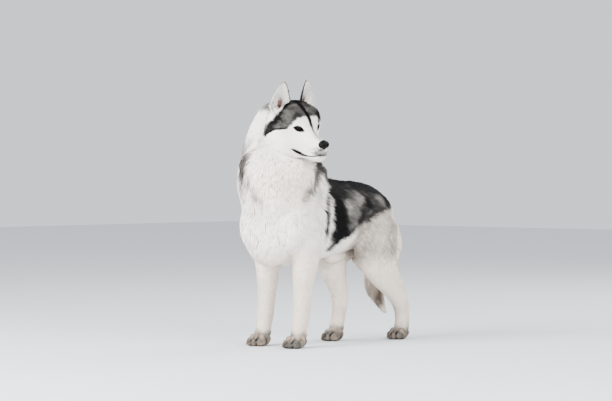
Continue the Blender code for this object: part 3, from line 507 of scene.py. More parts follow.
bmesh.ops.triangulate(bm, faces=bm.faces)
bmesh.ops.dissolve_degenerate(bm, dist=0.00002, edges=bm.edges)
bmesh.ops.triangulate(bm, faces=bm.faces)
bm.to_mesh(hide.data)
bm.free()
hide.data.transform(Matrix.Translation(SHIFT))
hide.data.shade_smooth()

# The markings: white face, chest, legs and belly, grey and black cap, saddle and nape, buff paws,
# with painted shade between the toes and in the ears' cups. One rule gives the colour at any place,
# and hide and fur both ask it.


def linear(hex_colour):
    """An sRGB hex colour as linear red, green and blue."""
    parts = [int(hex_colour[k : k + 2], 16) / 255 for k in (1, 3, 5)]
    return np.array([c / 12.92 if c <= 0.04045 else ((c + 0.055) / 1.055) ** 2.4 for c in parts])


WHITE = linear("#F6F3EE")
CREAM = linear("#E8D9C9")
BUFF = linear("#A8937F")
SILVER = linear("#98938C")
GREY = linear("#55534F")
DARK = linear("#1F1E1D")
BLACK = linear("#060606")
PINK = linear("#C79A90")
LIP = linear("#1A1718")
to_rows = np.array(-SHIFT)
head_inverse = np.array(HEAD.inverted())


def ripple(points, size, seed):
    """A smooth random field between about -1 and 1 that changes over that size."""
    dice = np.random.default_rng(seed)
    total = np.zeros(len(points))
    for _ in range(7):
        wave = dice.normal(size=3)
        wave /= np.linalg.norm(wave) * size * dice.uniform(0.6, 1.6) / 2.2
        total += np.sin(points @ wave + dice.uniform(0, 6.28))
    return total / 2.6


def from_path(points, path):
    """Distance of each point from a polyline, and how far along it from 0 to 1."""
    best, share = np.full(len(points), np.inf), np.zeros(len(points))
    path = np.array(path, float)
    for k, (a, b) in enumerate(zip(path, path[1:])):
        t = np.clip((points - a) @ (b - a) / ((b - a) @ (b - a)), 0, 1)
        away = lengths(points - a - t[:, None] * (b - a))
        nearer = away < best
        best[nearer] = away[nearer]
        share[nearer] = (k + t[nearer]) / (len(path) - 1)
    return best, share


def paint(base, *layers):
    """Lays colours over a base, each by an amount from 0 to 1. Mixing the roots keeps dark ones strong."""
    shade = np.sqrt(base)
    for colour, amount in layers:
        amount = np.atleast_1d(np.clip(amount, 0, 1))[:, None]
        shade = shade * (1 - amount) + np.sqrt(colour) * amount
    return shade**2


SADDLE_EDGE = metres([
    # y along the flank, z of the saddle's lower edge
    (-76, 480), (-52, 330), (-30, 320), (-4, 330), (32, 350), (78, 374), (122, 389), (163, 405), (202, 420),
    (244, 434), (283, 440), (312, 445), (335, 456), (350, 600),
])
NAPE_LINE = metres([
    (-30, -150, 800), (-95, -118, 765), (-140, -80, 700), (-125, -55, 640), (-50, -20, 610), (0, 50, 580),
])
LEFT_STREAK = metres([(88, -80, 590), (99, -107, 562), (103, -141, 523), (113, -185, 482)])
NECK_REAR = metres([(66, -100, 628), (84, -75, 592), (92, -50, 556), (88, -26, 530)])
NECK_FRONT = metres([(-80, -262, 655), (-70, -272, 622), (-64, -280, 590), (-66, -283, 560)])
PATCH = (0.092, 0.156, 0.468)
PATCH_SHAPE = (1.6, 0.95, 1.1)
THIN_LINE = metres([(330, -62), (380, -68), (430, -70), (480, -61), (530, -34)])
RIGHT_STREAK = metres([
    (-130, -190, 670), (-100, -245, 620), (-73, -265, 590), (-17, -303, 514), (30, -300, 470),
])
TOE_GAPS = (-0.017, 0.0, 0.017)


def body_colours(p):
    """Colours at places on the body, in the rows' frame."""
    side = np.abs(p[:, 0])
    y = p[:, 1] + 0.006 * ripple(p, 0.03, 5) + 0.0035 * ripple(p, 0.01, 6)
    z = p[:, 2] + 0.006 * ripple(p, 0.034, 7) + 0.004 * ripple(p, 0.011, 8)

    # saddle: silver and grey agouti with dark patches, a black band in front and along the back
    edge = np.interp(y, *zip(*SADDLE_EDGE))
    inside = ramp(z - edge, -0.006, 0.01) * ramp(y, -0.048, -0.034) * fall(y, 0.33, 0.352)
    lean = y - 0.22 * (0.45 - z)
    behind = lean - 0.45 * np.maximum(0, 0.43 - z)
    slant = y - 0.8 * (z - 0.41)
    saddle = paint(
        SILVER,
        (GREY, 0.62 + 0.45 * ripple(p, 0.022, 10)),
        (DARK, 0.12 + 0.7 * ramp(ripple(p, 0.016, 11), 0, 0.8)),
        (BLACK, 0.97 * ramp(lean, -0.054, -0.04) * fall(behind, 0.004, 0.034)),
        # withers, a second band, the rim, a patch, the croup and the line of the back
        (BLACK, 0.95 * ramp(z, 0.47, 0.5) * fall(y, 0.045, 0.09)),
        (DARK, 0.85 * ramp(slant, 0.08, 0.1) * fall(slant, 0.12, 0.148)),
        (DARK, 0.85 * fall(np.abs(z - edge - 0.012), 0.006, 0.02) * ramp(y, 0.03, 0.06)),
        (BLACK, 0.9 * fall(lengths((p - PATCH) / PATCH_SHAPE), 0.012, 0.028)),
        (BLACK, 0.9 * ramp(y, 0.235, 0.275) * fall(side, 0.075, 0.105)),
        (BLACK, 0.98 * ramp(z + 0.1 * (y - 0.1), 0.5, 0.522) * fall(side, 0.06, 0.1)),
    )
    # in front of it a grey veil, a pale band and a thin dark line, and behind the head the nape
    shoulder = ramp(y, -0.15, -0.09) * fall(y, -0.096, -0.086) * ramp(z, 0.35, 0.45)
    off_line = np.abs(0.7 * p[:, 1] + 0.3 * y - np.interp(z, *zip(*THIN_LINE)))
    line = fall(off_line, 0.007, 0.0125) * ramp(z, 0.34, 0.385) * ramp(side, 0.045, 0.07)
    nape_away, _ = from_path(p, NAPE_LINE)
    nape = fall(nape_away + 0.01 * ripple(p, 0.02, 12), 0.034, 0.066)
    coat = paint(
        WHITE,
        (CREAM, 0.5 + 0.35 * ripple(p, 0.09, 9)),
        # belly and insides of the legs are creamier
        (CREAM, np.maximum(fall(z, 0.2, 0.36) * 0.8, ramp(y, 0.06, 0.14) * 0.7)),
        (saddle, inside),
        (SILVER, shoulder * (0.4 + 0.25 * ripple(p, 0.025, 20))),
        (BLACK, line * 0.9),
        (paint(GREY, (BLACK, ramp(ripple(p, 0.016, 13), -0.6, 0.5))), nape * 0.95),
    )
    # streaks that cross the neck, and grey on its right side
    for path, strength, colour in ((LEFT_STREAK, 0.92, DARK), (RIGHT_STREAK, 0.72, GREY)):
        away, share = from_path(p, path)
        streak = fall(away + 0.004 * ripple(p, 0.012, 14), 0.008, 0.023)
        coat = paint(coat, (colour, streak * strength * (1 - 0.45 * share)))
    flank = ramp(-p[:, 0], 0.03, 0.08) * ramp(z, 0.44, 0.5) * fall(z, 0.65, 0.7)
    flank *= ramp(-y, 0.1, 0.18) * ramp(ripple(p * (1, 1, 0.45), 0.014, 30), -0.1, 0.8)
    coat = paint(coat, (GREY, flank * 0.58))
    for path, strength, wide in ((NECK_REAR, 0.92, 0.02), (NECK_FRONT, 0.9, 0.023)):
        away, share = from_path(p, path)
        fringe = fall(away + 0.006 * ripple(p, 0.009, 29), wide * 0.5, wide * 1.5)
        coat = paint(coat, (DARK, fringe * strength * (1 - 0.3 * share)))
    # tail: cream with dark streaks near its end and a pale tip, darker behind
    away, share = from_path(p, [row[:3] for row in TAIL_ROWS])
    tail = fall(away, 0.05, 0.066) * ramp(y, 0.315, 0.345) * (p[:, 0] < 0.022)
    streaks = ramp(ripple(p * (1, 1, 0.25), 0.009, 16), 0, 0.8)
    brush = paint(
        CREAM,
        (BUFF, 0.2 + 0.25 * ripple(p, 0.04, 17)),
        (DARK, streaks * (0.08 + 0.46 * ramp(share, 0.5, 0.85)) * fall(share, 0.9, 0.99)),
        (GREY, 0.5 * ramp(y, 0.376, 0.398) * fall(share, 0.8, 0.95) * fall(p[:, 0], -0.04, -0.01)),
    )
    # the thighs carry a veil of grey, the sheath ends in bare skin, the paws are buff grey
    thigh = ramp(z, 0.245, 0.315) * ramp(y, 0.075, 0.115) * fall(y, 0.25, 0.31) * (1 - inside)
    paw = fall(p[:, 2] + 0.004 * ripple(p, 0.012, 18), 0.026, 0.062)
    coat = paint(
        coat,
        (paint(SILVER, (BUFF, 0.3)), thigh * (0.84 + 0.16 * ripple(p, 0.03, 15))),
        (GREY, 0.3 * thigh * ramp(ripple(p, 0.028, 32), -0.1, 0.8) * fall(z, 0.36, 0.4)),
        (brush, tail),
        (PINK, 0.45 * fall(lengths(p - SHEATH_END), 0.01, 0.022)),
        (paint(BUFF, (GREY, 0.58 + 0.4 * ripple(p, 0.012, 19))), paw * 0.94),
    )
    # painted shade in the gaps between the toes, which spread forwards, and dark soles
    for place, scale in PAWS.values():
        local = (p - np.array(place)) / (scale, scale, 1)
        ahead = -local[:, 1]
        near = ramp(ahead, 0.006, 0.02) * fall(ahead, 0.055, 0.065) * fall(p[:, 2], 0.02, 0.036)
        for across in TOE_GAPS:
            # painted shade: a near-black line down each gap between two toes
            toe_gap_shade = fall(np.abs(local[:, 0] - across * (0.88 + 6 * ahead)), 0.0014, 0.0056)
            coat = paint(coat, (BLACK, toe_gap_shade * near * 0.9))
    return paint(coat, (BLACK, fall(p[:, 2], 0.002, 0.005)))


CAP_EDGE = metres([
    # way round the head from the midline, height of the cap's lower edge
    (0, 34.5), (24, 34.5), (35.3, 33), (46, 28.5), (54.3, 21), (62, 8), (70.4, -4), (86.9, -13),
    (113.6, -21.5), (130.1, -34.5), (146.9, -47), (156, -59), (210, -80),
])
CAP_REAR = metres([
    # height, way round where the cap ends
    (-68, 167), (-56, 166), (-40, 162), (-18, 154), (-1, 143), (17, 130), (31, 118), (46, 107), (55, 97),
    (70, 92),
])
STRIPE_PATH = metres([
    # distance behind the eyes, how far the stripe lies to the left of the midline
    (-42.8, 3.5), (-22.6, 2.7), (-9.1, 2), (0, 0.4), (20.3, -4.5), (45, -5.6), (67.4, -8.5),
])
FAR_BROW = metres([(50, 16, 42), (47, 7, 33), (45, 2, 24), (44, -1, 17)])
STRIPE_WIDTH = metres([(-75, 1.2), (-30, 2.8), (-10, 5), (20, 6.2), (50, 8)])
STRIPE_STRENGTH = [(-0.08, 0.0), (-0.055, 0.22), (-0.03, 0.6), (-0.012, 0.95), (0.01, 0.98)]
LIP_WIDTH = metres([(-107, 1.4), (-55, 1), (-28, 2.8), (-2, 3), (10, 0.4)])
SKULL_CENTRE = (0.0, 0.045, -0.02)
WHISKER_HEIGHTS = (-0.046, -0.053, -0.06)
# brown of the painted shade in the hollow at the foot of each ear's cup
EAR_HOLLOW_SHADE = linear("#4E3029")


def ear_parts(p, side):
    """For places in the head's frame: how much they belong to the ear, share of its height, how far
    out from its middle, and how far in front of the middle of its wall."""
    base, rise, open_to, wide = ear_axes(side)
    local = p - np.array(base)
    up = local @ np.array(rise) / rise.length_squared
    out = side * (local @ np.array(wide))
    half, cup, _ = ear_shape(np.clip(up, -0.2, 0.99))
    ahead = local @ np.array(open_to) + cup * ear_arc(half, out)
    mine = fall(np.abs(ahead), 0.005, 0.009) * fall(np.abs(out) - half, 0.002, 0.006)
    return mine * ramp(up, -0.12, -0.02) * (up < 1.15), up, out, ahead


def on_ear(h):
    """Whether places in the head's frame lie on an ear."""
    return np.maximum(ear_parts(h, 1)[0], ear_parts(h, -1)[0]) > 0.5


def on_muzzle(h):
    """Whether places in the head's frame lie before the eyes."""
    return (h[:, 1] < 0) & (np.abs(h[:, 0]) < 0.06) & (h[:, 2] > -0.105)


def eye_parts(p, side):
    """For places in the head's frame: along and across the eye's almond, and how far behind it."""
    back = np.array(eye_axes(side).inverted())
    local = p @ back[:3, :3].T + back[:3, 3]
    aside = local[:, 0] * side
    along = aside * math.cos(EYE_TILT) + local[:, 2] * math.sin(EYE_TILT)
    return along, local[:, 2] * math.cos(EYE_TILT) - aside * math.sin(EYE_TILT), local[:, 1]


def lip_parts(p):
    """For places in the head's frame: distance from the edge of the mouth's opening."""
    y, low, rise = zip(*MOUTH_LINE)
    gape = np.interp(p[:, 1], y, np.array(rise) / 2)
    return np.abs(p[:, 2] - np.interp(p[:, 1], y, np.array(low) + np.array(rise) / 2)) - gape


def head_colours(p, n):
    """Colours at places on the head, in its own frame: p places, n normals."""
    a, y, z = np.abs(p[:, 0]), p[:, 1], p[:, 2]
    fine = ripple(p, 0.006, 21)
    way = a + 0.8 * np.maximum(0, y - 0.008) + 0.0016 * fine
    edge = np.interp(way, *zip(*CAP_EDGE)) + 0.0014 * ripple(p, 0.008, 23)
    rear = np.interp(z, *zip(*CAP_REAR)) + 0.003 * ripple(p, 0.01, 24)
    cap = ramp(z - edge, -0.0012, 0.0022) * fall(way - rear, -0.004, 0.004)
    cap *= ramp(z, -0.072, -0.058) * (1 - ramp(y, 0.094, 0.114) * (p[:, 0] > 0))
    cap *= 1 - ramp(y, 0.118, 0.134) * (a > 0.05)
    crown = ramp(y, 0.07, 0.09) * ramp(z, 0, 0.03) * fall(a, 0.045, 0.06)
    narrow = ramp(z, 0.012, 0.034)
    inner = paint(
        GREY,
        (SILVER, 0.05 + 0.22 * ripple(p, 0.014, 25)),
        (DARK, 0.34),
        (DARK, 0.55 * ramp(ripple(p, 0.01, 26), 0.1, 0.9)),
        (DARK, 0.7 * ramp(a, 0.026, 0.04) * fall(z - edge, 0.012, 0.026) * fall(way, 0.05, 0.062)),
        # temple, the notch over the eye's outer corner, the crown and the back of the head
        (BLACK, 0.92 * ramp(way - rear, -0.038 + 0.022 * narrow, -0.018 + 0.009 * narrow)),
        (BLACK, 0.8 * fall(np.abs(z - edge - 0.002), 0.002, 0.007) * ramp(way, 0.052, 0.06)),
        (BLACK, 0.93 * ramp(z, 0.056, 0.067) * fall(a, 0.045, 0.065) * ramp(y, 0.04, 0.058)),
        (DARK, 0.9 * ramp(y, 0.08, 0.1)),
        # a line from the crown down the front of the ear's root
        (BLACK, 0.92 * fall(np.abs(y - 0.06), 0.0055, 0.0105) * ramp(a, 0.026, 0.036) * ramp(z, 0.01, 0.022)),
    )
    # the stripe from the crown to the bridge, black over the far brow, and grey beside the nose
    off_stripe = np.abs(p[:, 0] - np.interp(y, *zip(*STRIPE_PATH))) + 0.0006 * fine
    width = np.interp(y, *zip(*STRIPE_WIDTH))
    stripe = fall(off_stripe, width, width + 0.0028) * ramp(z, -0.035, -0.02)
    stripe *= np.interp(y, *zip(*STRIPE_STRENGTH)) * ramp(n[:, 2] - n[:, 1], 0.1, 0.4)
    brow_away, _ = from_path(p, FAR_BROW)
    muzzle = ramp(-y + 0.004 * fine, 0.07, 0.094) * fall(np.abs(z + 0.056), 0.011, 0.02)
    coat = paint(
        WHITE,
        (CREAM, 0.15 + 0.2 * ripple(p, 0.03, 22)),
        (inner, np.maximum(cap, crown)),
        (BLACK, stripe),
        (BLACK, 0.88 * fall(brow_away + 0.0012 * fine, 0.0045, 0.0095)),
        (GREY, muzzle * (0.58 + 0.22 * fine)),
        (GREY, 0.35 * ramp(-y, 0.03, 0.075) * ramp(n[:, 2], 0.3, 0.8) * fall(a, 0.006, 0.014)),
    )
    # dots at the roots of the whiskers
    dots = random.Random(41)
    for row, height in enumerate(WHISKER_HEIGHTS):
        for k in range(6):
            dot_y = -0.088 + 0.0058 * k + 0.0022 * row + dots.uniform(-0.0014, 0.0014)
            away = np.hypot(y - dot_y, z - height + 0.0009 * k + dots.uniform(-0.0012, 0.0012))
            size = dots.uniform(0.0007, 0.0012)
            coat = paint(coat, (DARK, fall(away, size, size + 0.0014) * (0.85 - 0.1 * k) * (a > 0.008)))
    for side in SIDES:
        # ears: white inside under painted grey shade, pink skin at the foot under painted brown and near-black
        # shade in the cup's hollow, dark behind and along the inner edge
        mine, up, out, ahead = ear_parts(p, side)
        half = ear_shape(np.clip(up, -0.2, 0.99))[0]
        behind = paint(DARK, (GREY, 0.35 + 0.4 * ripple(p, 0.012, 27)), (WHITE, 0.8 * ramp(out, 0.002, 0.02)))
        within = paint(
            WHITE,
            # painted grey shade over the white hair inside the cup
            (SILVER, 0.3 + 0.15 * ripple(p, 0.02, 28)),
            (PINK, 0.28 * fall(np.abs(out), 0.008, 0.02) * fall(up, 0.15, 0.5)),
            # painted shade in the hollow at the cup's foot: brown over the pink skin, then near black deepest
            # in
            (EAR_HOLLOW_SHADE, 0.8 * fall(np.abs(out + 0.002), 0.004, 0.012) * fall(up, 0.2, 0.46)),
            (LIP, 0.75 * fall(np.abs(out + 0.002), 0.002, 0.007) * fall(up, 0.02, 0.16)),
        )
        ear = paint(
            behind,
            (within, ramp(ahead, -0.0006, 0.0006)),
            (BUFF, 0.6 * ramp(up, 0.88, 0.98)),
            (BLACK, 0.8 * ramp(-out - half, -0.004, -0.0005)),
        )
        coat = paint(coat, (ear, mine))
    for side in SIDES:
        # black rims of the eyes, drawn out at the inner corner
        along, across, behind = eye_parts(p, side)
        reach = OPENING[0] + np.where(along < 0, 0.0058, 0.0046)
        height = OPENING[1] + np.where(across > 0, 0.0036, 0.0022)
        height *= 1 - ALMOND_TAPER * np.clip(along / reach, -1, 1) ** 2
        rim = (along / reach) ** 2 + (across / height) ** 2
        coat = paint(coat, (LIP, fall(rim, 0.88, 1.12) * (behind < 0.004)))
    # black lips, widest near the corners of the mouth
    lip = fall(lip_parts(p) - np.interp(y, *zip(*LIP_WIDTH)), -0.0002, 0.001)
    return paint(coat, (LIP, lip * (y < 0.0105) * (y > -0.112)))


def to_head(p):
    """Places in the rows' frame as places in the head's own."""
    return p @ head_inverse[:3, :3].T + head_inverse[:3, 3]


def coat_colours(points, normals):
    """The coat's colour at places and normals in the frame of the solids."""
    p = points + to_rows
    h = to_head(p)
    away = lengths((h - SKULL_CENTRE) / (1.0, 1.05, 1.0))
    temples = ramp(np.abs(h[:, 0]), 0.045, 0.065) * fall(np.abs(h[:, 2] + 0.03), 0.03, 0.055)
    on_head = fall(away - 0.012 * temples + 0.004 * ripple(p, 0.014, 31), 0.112, 0.128)
    ear_root = (h[:, 2] > 0.055) & (np.abs(h[:, 0]) < 0.11) & (h[:, 1] > 0.03) & (h[:, 1] < 0.1)
    on_head = np.where(on_ear(h) | ear_root | on_muzzle(h), 1.0, on_head)[:, None]
    return body_colours(p) * (1 - on_head) + head_colours(h, normals @ head_inverse[:3, :3].T) * on_head


# The groom: at any place on the hide, the way the fur lies, and how long, wide and deep it is. Real
# fur turns slowly over the body, so each place takes the mean of the guides round it.

GUIDE_BATCH = 20000
GUIDE_BLUR = 0.00006
GUIDE_FALLOFF = 2.2
PAIRED_GUIDES = [
    # place in mm, lie, then length, width and depth in mm
    (0, 0, 585, 0, 1, -0.15, 40, 5, 14), (0, 100, 550, 0, 1, -0.05, 38, 5, 11),
    (0, 200, 535, 0, 1, -0.1, 38, 5, 11), (0, 290, 500, 0, 0.8, -0.6, 40, 5.5, 9),
    (0, 340, 450, 0, 0.4, -1, 45, 6, 10), (110, -50, 480, 0, 0.85, -0.5, 36, 5, 10),
    (120, 0, 420, 0, 0.9, -0.45, 36, 5, 10), (115, 80, 420, 0, 0.95, -0.35, 36, 5, 10),
    (100, 180, 450, 0, 0.95, -0.4, 36, 5, 10), (100, 260, 430, 0, 0.8, -0.7, 38, 5, 11),
    (110, -20, 330, 0, 0.9, -0.3, 34, 5, 10), (90, 90, 330, 0, 0.95, -0.2, 30, 5, 9),
    (0, -100, 260, 0, 1, 0, 26, 5, 8), (0, 50, 280, 0, 1, 0, 24, 5, 8),
    (0, 180, 310, 0, 1, 0.05, 22, 4.5, 7), (120, -160, 460, 0.05, 0.4, -1, 36, 5.5, 11),
    (100, -240, 420, 0.05, 0.15, -1, 42, 6, 13), (0, -300, 420, 0, 0.05, -1, 48, 6.5, 15),
    (0, -270, 300, 0, 0.5, -1, 36, 5.5, 11), (60, -260, 340, 0, 0.3, -1, 38, 5.5, 12),
    (120, -130, 360, 0, 0.45, -1, 28, 5, 9), (110, -150, 310, 0, 0.15, -1, 18, 4, 5),
    (80, -100, 290, 0, 0.4, -1, 26, 4.5, 7), (50, -150, 290, 0, 0.1, -1, 14, 3.5, 4),
    (80, -185, 260, 0, 0.05, -1, 13, 3.4, 4), (80, -180, 200, 0, 0.1, -1, 11, 3, 3.2),
    (80, -115, 200, 0, 0.3, -1, 16, 3.5, 4.5), (80, -190, 110, 0, -0.05, -1, 9, 2.8, 2.6),
    (80, -130, 110, 0, 0.1, -1, 10, 3, 3), (80, -200, 48, 0, -0.6, -0.8, 8, 2.6, 2.4),
    (80, -225, 25, 0, -0.9, -0.5, 7, 2.3, 2), (80, -160, 30, 0, -0.1, -1, 9, 2.6, 2.4),
    (110, 200, 380, 0, 0.5, -0.9, 28, 4.5, 8), (100, 280, 360, 0, 0.6, -0.8, 40, 5.5, 12),
    (60, 360, 360, 0, 0.35, -1, 58, 6.5, 18), (60, 350, 300, 0, 0.3, -1, 52, 6.5, 16),
    (100, 180, 310, 0, 0.3, -1, 20, 4.2, 5.5), (20, 250, 320, 0, 0.2, -1, 20, 4.2, 5),
]
LONE_GUIDES = [
    (100, 250, 260, 0, 0.55, -0.9, 17, 3.8, 5), (70, 340, 220, 0, 0.5, -0.9, 26, 4.5, 8),
    (70, 300, 170, 0, 0.7, -0.7, 12, 3.2, 3.6), (64, 400, 135, 0, 0.2, -1, 13, 3.2, 3.8),
    (64, 400, 80, 0, -0.05, -1, 9, 2.8, 2.8), (64, 340, 80, 0, -0.1, -1, 9, 2.8, 2.6),
    (64, 330, 40, 0, -0.8, -0.6, 8, 2.4, 2.2), (64, 310, 20, 0, -0.9, -0.5, 7, 2.3, 2),
    (-90, 150, 250, 0, 0.3, -1, 16, 3.6, 4.6), (-50, 220, 220, 0, 0.4, -0.9, 22, 4.2, 6.5),
    (-50, 140, 200, 0, 0.4, -1, 12, 3.2, 3.6), (-50, 210, 140, 0, 0.1, -1, 13, 3.2, 3.6),
    (-50, 200, 80, 0, -0.1, -1, 9, 2.8, 2.7), (-50, 140, 80, 0, -0.2, -1, 9, 2.8, 2.6),
    (-50, 120, 40, 0, -0.8, -0.6, 8, 2.4, 2.2), (-50, 100, 20, 0, -0.9, -0.5, 7, 2.3, 2),
    (60, -250, 590, 0.05, -0.1, -1, 44, 6, 13), (0, -300, 560, 0, -0.05, -1, 50, 6.5, 16),
    (0, -310, 490, 0, 0.02, -1, 52, 6.5, 16), (120, -140, 560, 0.1, 0.35, -1, 48, 6.5, 14),
    (90, -50, 600, 0.15, 0.7, -0.7, 48, 6.5, 14), (-100, -250, 600, -0.1, 0, -1, 54, 6.5, 17),
    (-150, -160, 610, -0.1, 0.3, -1, 56, 6.5, 17), (-140, -170, 700, -0.1, 0.1, -1, 52, 6.5, 15),
    (-120, -50, 630, 0.1, 0.7, -0.8, 54, 6.5, 16), (-30, -10, 610, 0.1, 1, -0.5, 50, 6.5, 15),
    (-60, -100, 740, -0.5, 0.3, -0.8, 46, 6, 13), (-40, -150, 780, -0.8, 0, -0.6, 36, 5, 10),
    (90, -190, 590, 0.3, -0.05, -1, 32, 5, 10), (120, -160, 570, 0.4, 0.1, -1, 34, 5, 10),
    (30, -230, 640, 0, -0.1, -1, 34, 5.2, 10), (-50, -220, 690, -0.3, 0, -1, 40, 5.6, 11),
    (0, 340, 440, 0, 0.4, -1, 48, 6, 10), (-16, 410, 360, -0.1, 0.1, -1, 60, 6.5, 17),
    (-60, 360, 330, -0.15, 0.05, -1, 62, 6.5, 18), (-34, 410, 290, -0.05, 0, -1, 64, 6.5, 18),
    (-44, 395, 225, 0.05, -0.05, -1, 64, 6.5, 17), (-75, 350, 240, 0, -0.05, -1, 64, 6.5, 19),
    (-34, 375, 165, 0.3, 0, -1, 46, 6, 11), (-10, 360, 125, 0.45, 0.05, -1, 24, 4.5, 6),
]
HEAD_GUIDES = [
    # the same in the head's own frame
    (0, -90, -20, 0, 1, 0.2, 3.6, 1.5, 0.8), (0, -60, -15, 0, 1, 0.25, 4.2, 1.7, 1),
    (0, -30, -5, 0, 1, 0.5, 5, 1.9, 1.2), (0, 0, 20, 0, 0.6, 1, 7, 2.1, 1.8),
    (0, 30, 55, 0, 0.8, 0.7, 9, 2.4, 2.2), (0, 70, 72, 0, 1, 0, 12, 2.8, 3),
    (0, 110, 60, 0, 1, -0.4, 18, 3.6, 5), (0, 140, 30, 0, 0.8, -1, 30, 4.5, 8),
    (20, -70, -45, 0.25, 1, -0.05, 4.6, 1.7, 1.1), (30, -40, -50, 0.3, 1, -0.1, 5.6, 1.9, 1.4),
    (40, -10, -40, 0.35, 1, -0.15, 7, 2.1, 1.8), (45, 0, -18, 0.5, 1, -0.05, 6, 1.9, 1.4),
    (35, 0, 22, 0.35, 0.5, 0.9, 6, 1.9, 1.5), (60, 20, 10, 0.3, 1, 0.1, 9, 2.4, 2.2),
    (65, 40, 30, 0.1, 1, 0.3, 10, 2.5, 2.4), (70, 50, -20, 0.1, 1, -0.25, 14, 2.9, 3.6),
    (75, 80, -50, 0.1, 1, -0.6, 22, 3.8, 6), (80, 110, -50, 0.05, 1, -0.9, 30, 4.5, 9),
    (50, 0, -70, 0.1, 1, -0.4, 9, 2.3, 2.4), (55, 40, -90, 0.1, 1, -0.6, 18, 3.4, 5),
    (40, 90, -100, 0, 0.8, -1, 30, 4.5, 8), (0, -75, -88, 0, 1, -0.1, 5, 1.9, 1.4),
    (0, -30, -97, 0, 1, -0.05, 8, 2.3, 2), (0, 20, -108, 0, 1, -0.3, 14, 2.9, 4),
    (20, -50, -85, 0.1, 1, -0.1, 5, 1.9, 1.4), (53, 72, 60, 0, 0.1, 1, 7, 2, 1.2),
    (54, 80, 95, 0, 0.05, 1, 6, 1.8, 0.9), (54, 83, 125, 0, 0, 1, 4.5, 1.6, 0.6),
    (85, 80, 45, 0.2, 0.4, 0.9, 10, 2.4, 2.4), (25, 80, 70, -0.1, 0.6, 0.7, 9, 2.3, 2.2),
]


def all_guides():
    """Every guide in the frame of the solids, with the paired ones mirrored."""
    out = []
    for rows, to_solids in ((PAIRED_GUIDES, Matrix()), (HEAD_GUIDES, HEAD), (LONE_GUIDES, Matrix())):
        for x, y, z, dx, dy, dz, *size in rows:
            for side in SIDES if x and rows is not LONE_GUIDES else (1,):
                place = to_solids @ Vector((side * x / 1000, y / 1000, z / 1000)) + SHIFT
                lie = to_solids.to_3x3() @ Vector((side * dx, dy, dz)).normalized()
                out.append((*place, *lie, *size))
    return np.array(out)


def along_skin(ways, normals):
    """Each way without the part of it that rises from the skin, at length 1."""
    return unit(ways - normals * (ways * normals).sum(1)[:, None], 1e-9)


def groom_at(points, normals):
    """Lie, then length, width and depth in metres, for each point."""
    guides = all_guides()
    out = np.empty((len(points), 6))
    for start in range(0, len(points), GUIDE_BATCH):
        part = slice(start, start + GUIDE_BATCH)
        away = ((points[part, None, :] - guides[None, :, :3]) ** 2).sum(2)
        weight = 1 / (away + GUIDE_BLUR) ** GUIDE_FALLOFF
        weight /= weight.sum(1)[:, None]
        out[part] = weight @ guides[:, 3:]
    return along_skin(out[:, :3], normals), out[:, 3:] / 1000


points, normals, faces = mesh_arrays(hide.data)
_, sizes = groom_at(points, normals)
colours = coat_colours(points, normals)


def store_colours(mesh, values):
    """Keeps a linear colour at each vertex, as the attribute coat."""
    layer = mesh.color_attributes.new("coat", "FLOAT_COLOR", "POINT")
    rgba = np.ones((len(values), 4), np.float32)
    rgba[:, :3] = values
    layer.data.foreach_set("color", rgba.ravel())


store_colours(hide.data, colours)


def node(tree, kind, settings=None, **links):
    """Adds a node. Settings are properties or socket values, links are sockets that feed it."""
    made = tree.nodes.new("ShaderNode" + kind)
    for key, value in (settings or {}).items():
        if hasattr(made, key):
            setattr(made, key, value)
        else:
            made.inputs[key].default_value = value
    for key, source in links.items():
        socket = made.inputs[int(key[1:])] if key[1:].isdigit() else made.inputs[key.replace("_", " ")]
        tree.links.new(source, socket)
    return made


def new_material(name):
    """An empty material and its nodes."""
    made = bpy.data.materials.new(name)
    made.use_nodes = True
    made.node_tree.nodes.clear()
    return made, made.node_tree


def surface(tree, settings, **links):
    """The shader that a material ends with."""
    shader = node(tree, "BsdfPrincipled", settings, **links)
    node(tree, "OutputMaterial", i0=shader.outputs[0])


def short_fur():
    """Undercoat seen between the tufts: dull, with a nap of about 1.5 mm that only bump can show."""
    made, tree = new_material("short_fur_over_hide")
    colour = node(tree, "Attribute", {"attribute_name": "coat"})
    place = node(tree, "TexCoord")
    nap = node(tree, "TexNoise", {"Scale": 520.0, "Detail": 3.0}, Vector=place.outputs["Object"])
    shade = node(
        tree, "Mix", {"data_type": "RGBA", "blend_type": "MULTIPLY", "Factor": 0.18},
        i6=colour.outputs["Color"], i7=nap.outputs["Color"],
    )
    bump = node(tree, "Bump", {"Strength": 0.5, "Distance": 0.0012}, Height=nap.outputs["Fac"])
    surface(
        tree, {"Roughness": 0.9, "Specular IOR Level": 0.06},
        Base_Color=shade.outputs["Result"], Normal=bump.outputs["Normal"],
    )
    return made


hide.data.materials.clear()
hide.data.materials.append(short_fur())
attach(hide, "root")
legs = [f"{part}_{side}" for part in ("foreleg", "thigh", "hindleg") for side in ("left", "right")]
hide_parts("head", "jaw", "ear_left", "ear_right", "neck", "torso", "tail", *legs, *PAWS)

# The eyes: glass balls as a taxidermist sets them, with the iris and pupil under a wet cornea that
# bulges a little. They sit in their sockets and turn out by 41 degrees.

GAZE_INWARD = 6.0
IRIS_RADIUS = 0.0072
PUPIL_RADIUS = 0.0033
CORNEA_BULGE = 0.0009
IRIS_LIGHT = linear("#26180D")
IRIS_DARK = linear("#120A07")
PUPIL_BLACK = linear("#030303")
LIMBUS_DARK = linear("#0C0807")
EYE_WHITE = linear("#3A2C28")


